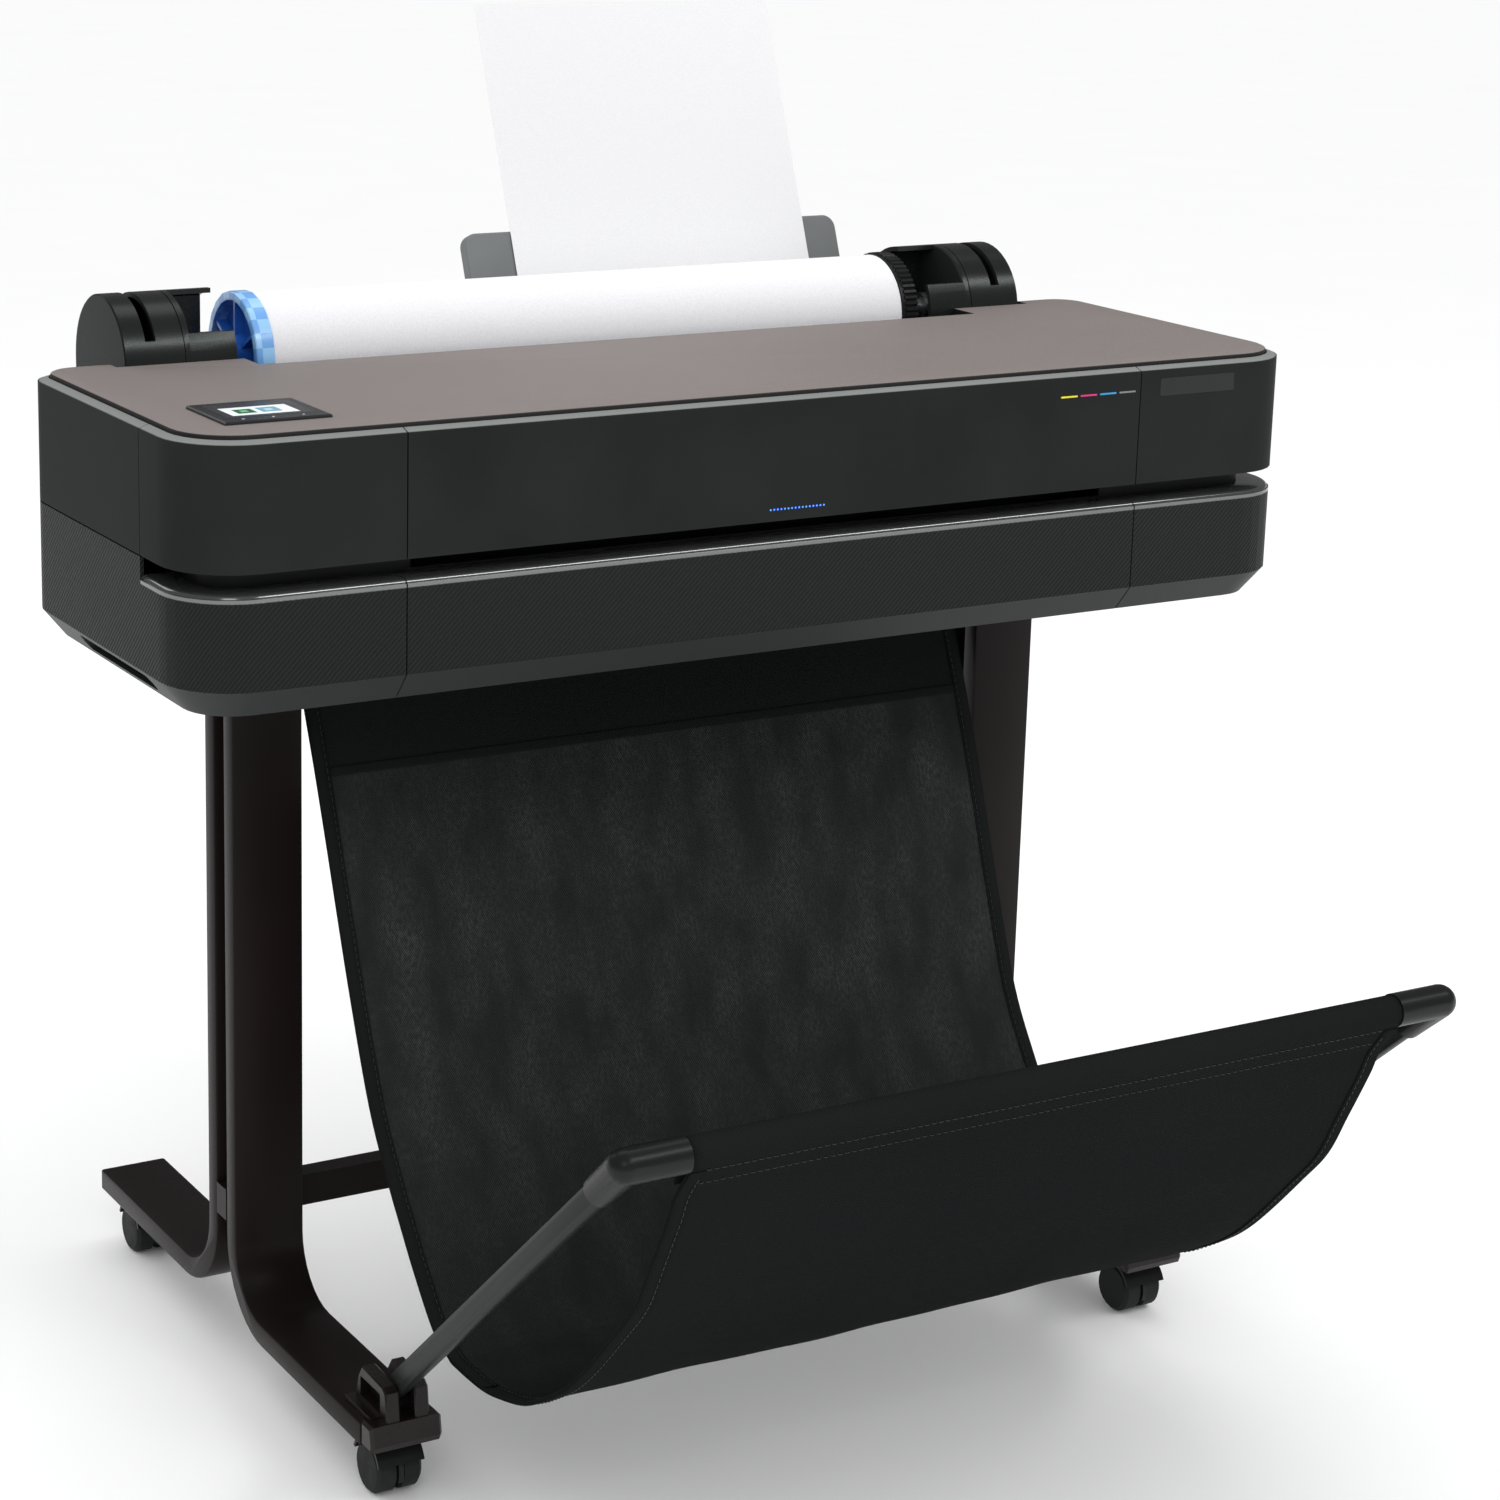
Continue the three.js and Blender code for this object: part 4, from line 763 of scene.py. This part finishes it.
# ---------------------------------------------------------------- markings and small trim
RIGHT, UP, BACK = (1, 0, 0), (0, 0, 1), (0, 1, 0)
TRIM_Y = -0.02                   # backs of the front trims, just clear of the front face
INKS = {"yellow": (232, 214, 40), "magenta": (206, 40, 120), "cyan": (44, 148, 206), "grey": (120, 122, 122)}
INKS_FROM, INKS_TO, INKS_Z = 251.6, 330, 808
LIGHT_FROM, LIGHT_LONG, LIGHT_Z, LIGHT_DOTS = -21, 49, 739, 16
PLATE_X, PLATE_Z = 392.5, 809.5
TOUCH_XS, TOUCH_Y = (-440.6, -416.8, -392.7), 53.7


def trim(name, body, slot, *shape):
    """An inlay that rides a body; the slot argument is not used."""
    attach(inlay(name, *shape), body)


def markings():
    """Plain colour dashes, a dotted light, touch marks and a blank name plate; no lettering."""
    dash = (INKS_TO - INKS_FROM) / len(INKS)
    for i, (name, rgb) in enumerate(INKS.items()):
        at = place(INKS_FROM + (i + 0.5) * dash, TRIM_Y, INKS_Z)
        trim(f"ink_mark_{name}", "door", "cover", at, RIGHT, UP, dash - 3, 1.5, 0.6, 0.25,
             tinted(f"ink_{name}", rgb).material)
    lit = tinted("status_light", (60, 120, 255), glow=1.6).material
    for i in range(LIGHT_DOTS):
        at = place(LIGHT_FROM + LIGHT_LONG * i / (LIGHT_DOTS - 1), TRIM_Y, LIGHT_Z)
        trim(f"status_dot_{i + 1}", "door", "cover", at, RIGHT, UP, 1.5, 1.5, 0.7, 0.2, lit)
    plate = moulded("name_plate", (34, 36, 35), 0.22, grain=900, depth=0.00001).material
    at = place(PLATE_X, TRIM_Y, PLATE_Z)
    trim("name_plate", "stand", "cover", at, RIGHT, UP, 77, 15, 1.2, 0.35, plate)
    mark = tinted("touch_mark", (190, 194, 196), glow=0.2).material
    bezel_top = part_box("touch_panel")[1].z
    for i, x in enumerate(TOUCH_XS):
        at = Vector((x * MM, FRONT + TOUCH_Y * MM, bezel_top))
        trim(f"touch_mark_{i + 1}", "stand", "gloss", at, RIGHT, BACK, 2.2, 2.2, 1.0, 0.12, mark)


# ---------------------------------------------------------------- stage
STUDIO_GLOW = 1.0
REFLECTED_GLOW = 0.16            # in reflections the studio's walls look dim between its lamps
FLOOR_HALF, FLOOR_Z = 30, -0.0004
LAMPS = (                        # name, place, watts, width and height, aimed at the middle of the machine
    ("key", (-1.9, -3.0, 2.9), 12, 1.4, 1.4),
    ("strip", (1.6, -2.2, 3.1), 30, 2.6, 0.5),
    ("top", (0.3, 0.9, 3.2), 12, 3.0, 1.0),
    ("rear", (-1.2, 3.0, 2.6), 12, 2.4, 1.2),
)


def stage():
    """A pale floor, an even white surround and four soft lamps."""
    g = Graph("studio_floor", 0.9, Specular_IOR_Level=0.0)
    g.color(g.mix(g.noise(3, 2), linear(249, 249, 250), linear(252, 252, 252)))
    corners = ((-1, -1), (1, -1), (1, 1), (-1, 1))
    edge = [Vector((x * FLOOR_HALF, y * FLOOR_HALF, FLOOR_Z)) for x, y in corners]
    mesh_object("floor", edge, [(0, 1, 2, 3)], g.material, smooth=False)

    world = bpy.data.worlds.new("studio")
    world.use_nodes = True
    tree = world.node_tree
    sky = tree.nodes["Background"]
    sky.inputs["Color"].default_value = (1.0, 1.0, 1.0, 1.0)
    rays = tree.nodes.new("ShaderNodeLightPath")
    dim = tree.nodes.new("ShaderNodeMapRange")
    dim.inputs["To Min"].default_value = STUDIO_GLOW
    dim.inputs["To Max"].default_value = REFLECTED_GLOW
    tree.links.new(rays.outputs["Is Glossy Ray"], dim.inputs["Value"])
    tree.links.new(dim.outputs[0], sky.inputs["Strength"])
    bpy.context.scene.world = world
    bpy.context.scene.view_settings.view_transform = "Standard"

    target = Vector((0, 0, 0.6))
    for name, at, watts, wide, high in LAMPS:
        lamp = bpy.data.lights.new(name, "AREA")
        lamp.shape, lamp.size, lamp.size_y, lamp.energy = "RECTANGLE", wide, high, watts
        made = bpy.data.objects.new(name, lamp)
        made.location = at
        made.rotation_euler = (target - Vector(at)).to_track_quat("-Z", "Y").to_euler()
        bpy.context.scene.collection.objects.link(made)


VIEW_FROM = (-1.4062, -2.2821, 1.2937)
VIEW_TURNS = (29.296, 13.617, -1.099)   # degrees from +Y towards +X, down, and about the view's axis
VIEW_LENS, VIEW_SHIFT = 82.05, (0.10, -0.10)


def camera():
    """The photograph's viewpoint."""
    turn, down, roll = (math.radians(a) for a in VIEW_TURNS)
    data = bpy.data.cameras.new("camera")
    data.sensor_width, data.lens = 36.0, VIEW_LENS
    data.shift_x, data.shift_y = VIEW_SHIFT
    made = bpy.data.objects.new("camera", data)
    ahead = Vector((math.sin(turn) * math.cos(down), math.cos(turn) * math.cos(down), -math.sin(down)))
    right = Vector((math.cos(turn), -math.sin(turn), 0))
    below = ahead.cross(right)
    across = right * math.cos(roll) + below * math.sin(roll)
    under = below * math.cos(roll) - right * math.sin(roll)
    made.matrix_world = Matrix.Translation(VIEW_FROM) @ Matrix(
        (across, -under, -ahead)).transposed().to_4x4()
    bpy.context.scene.collection.objects.link(made)
    bpy.context.scene.camera = made


camera()
finish_nodes()
fabric_bin()
markings()
stage()

bpy.context.view_layer.update()
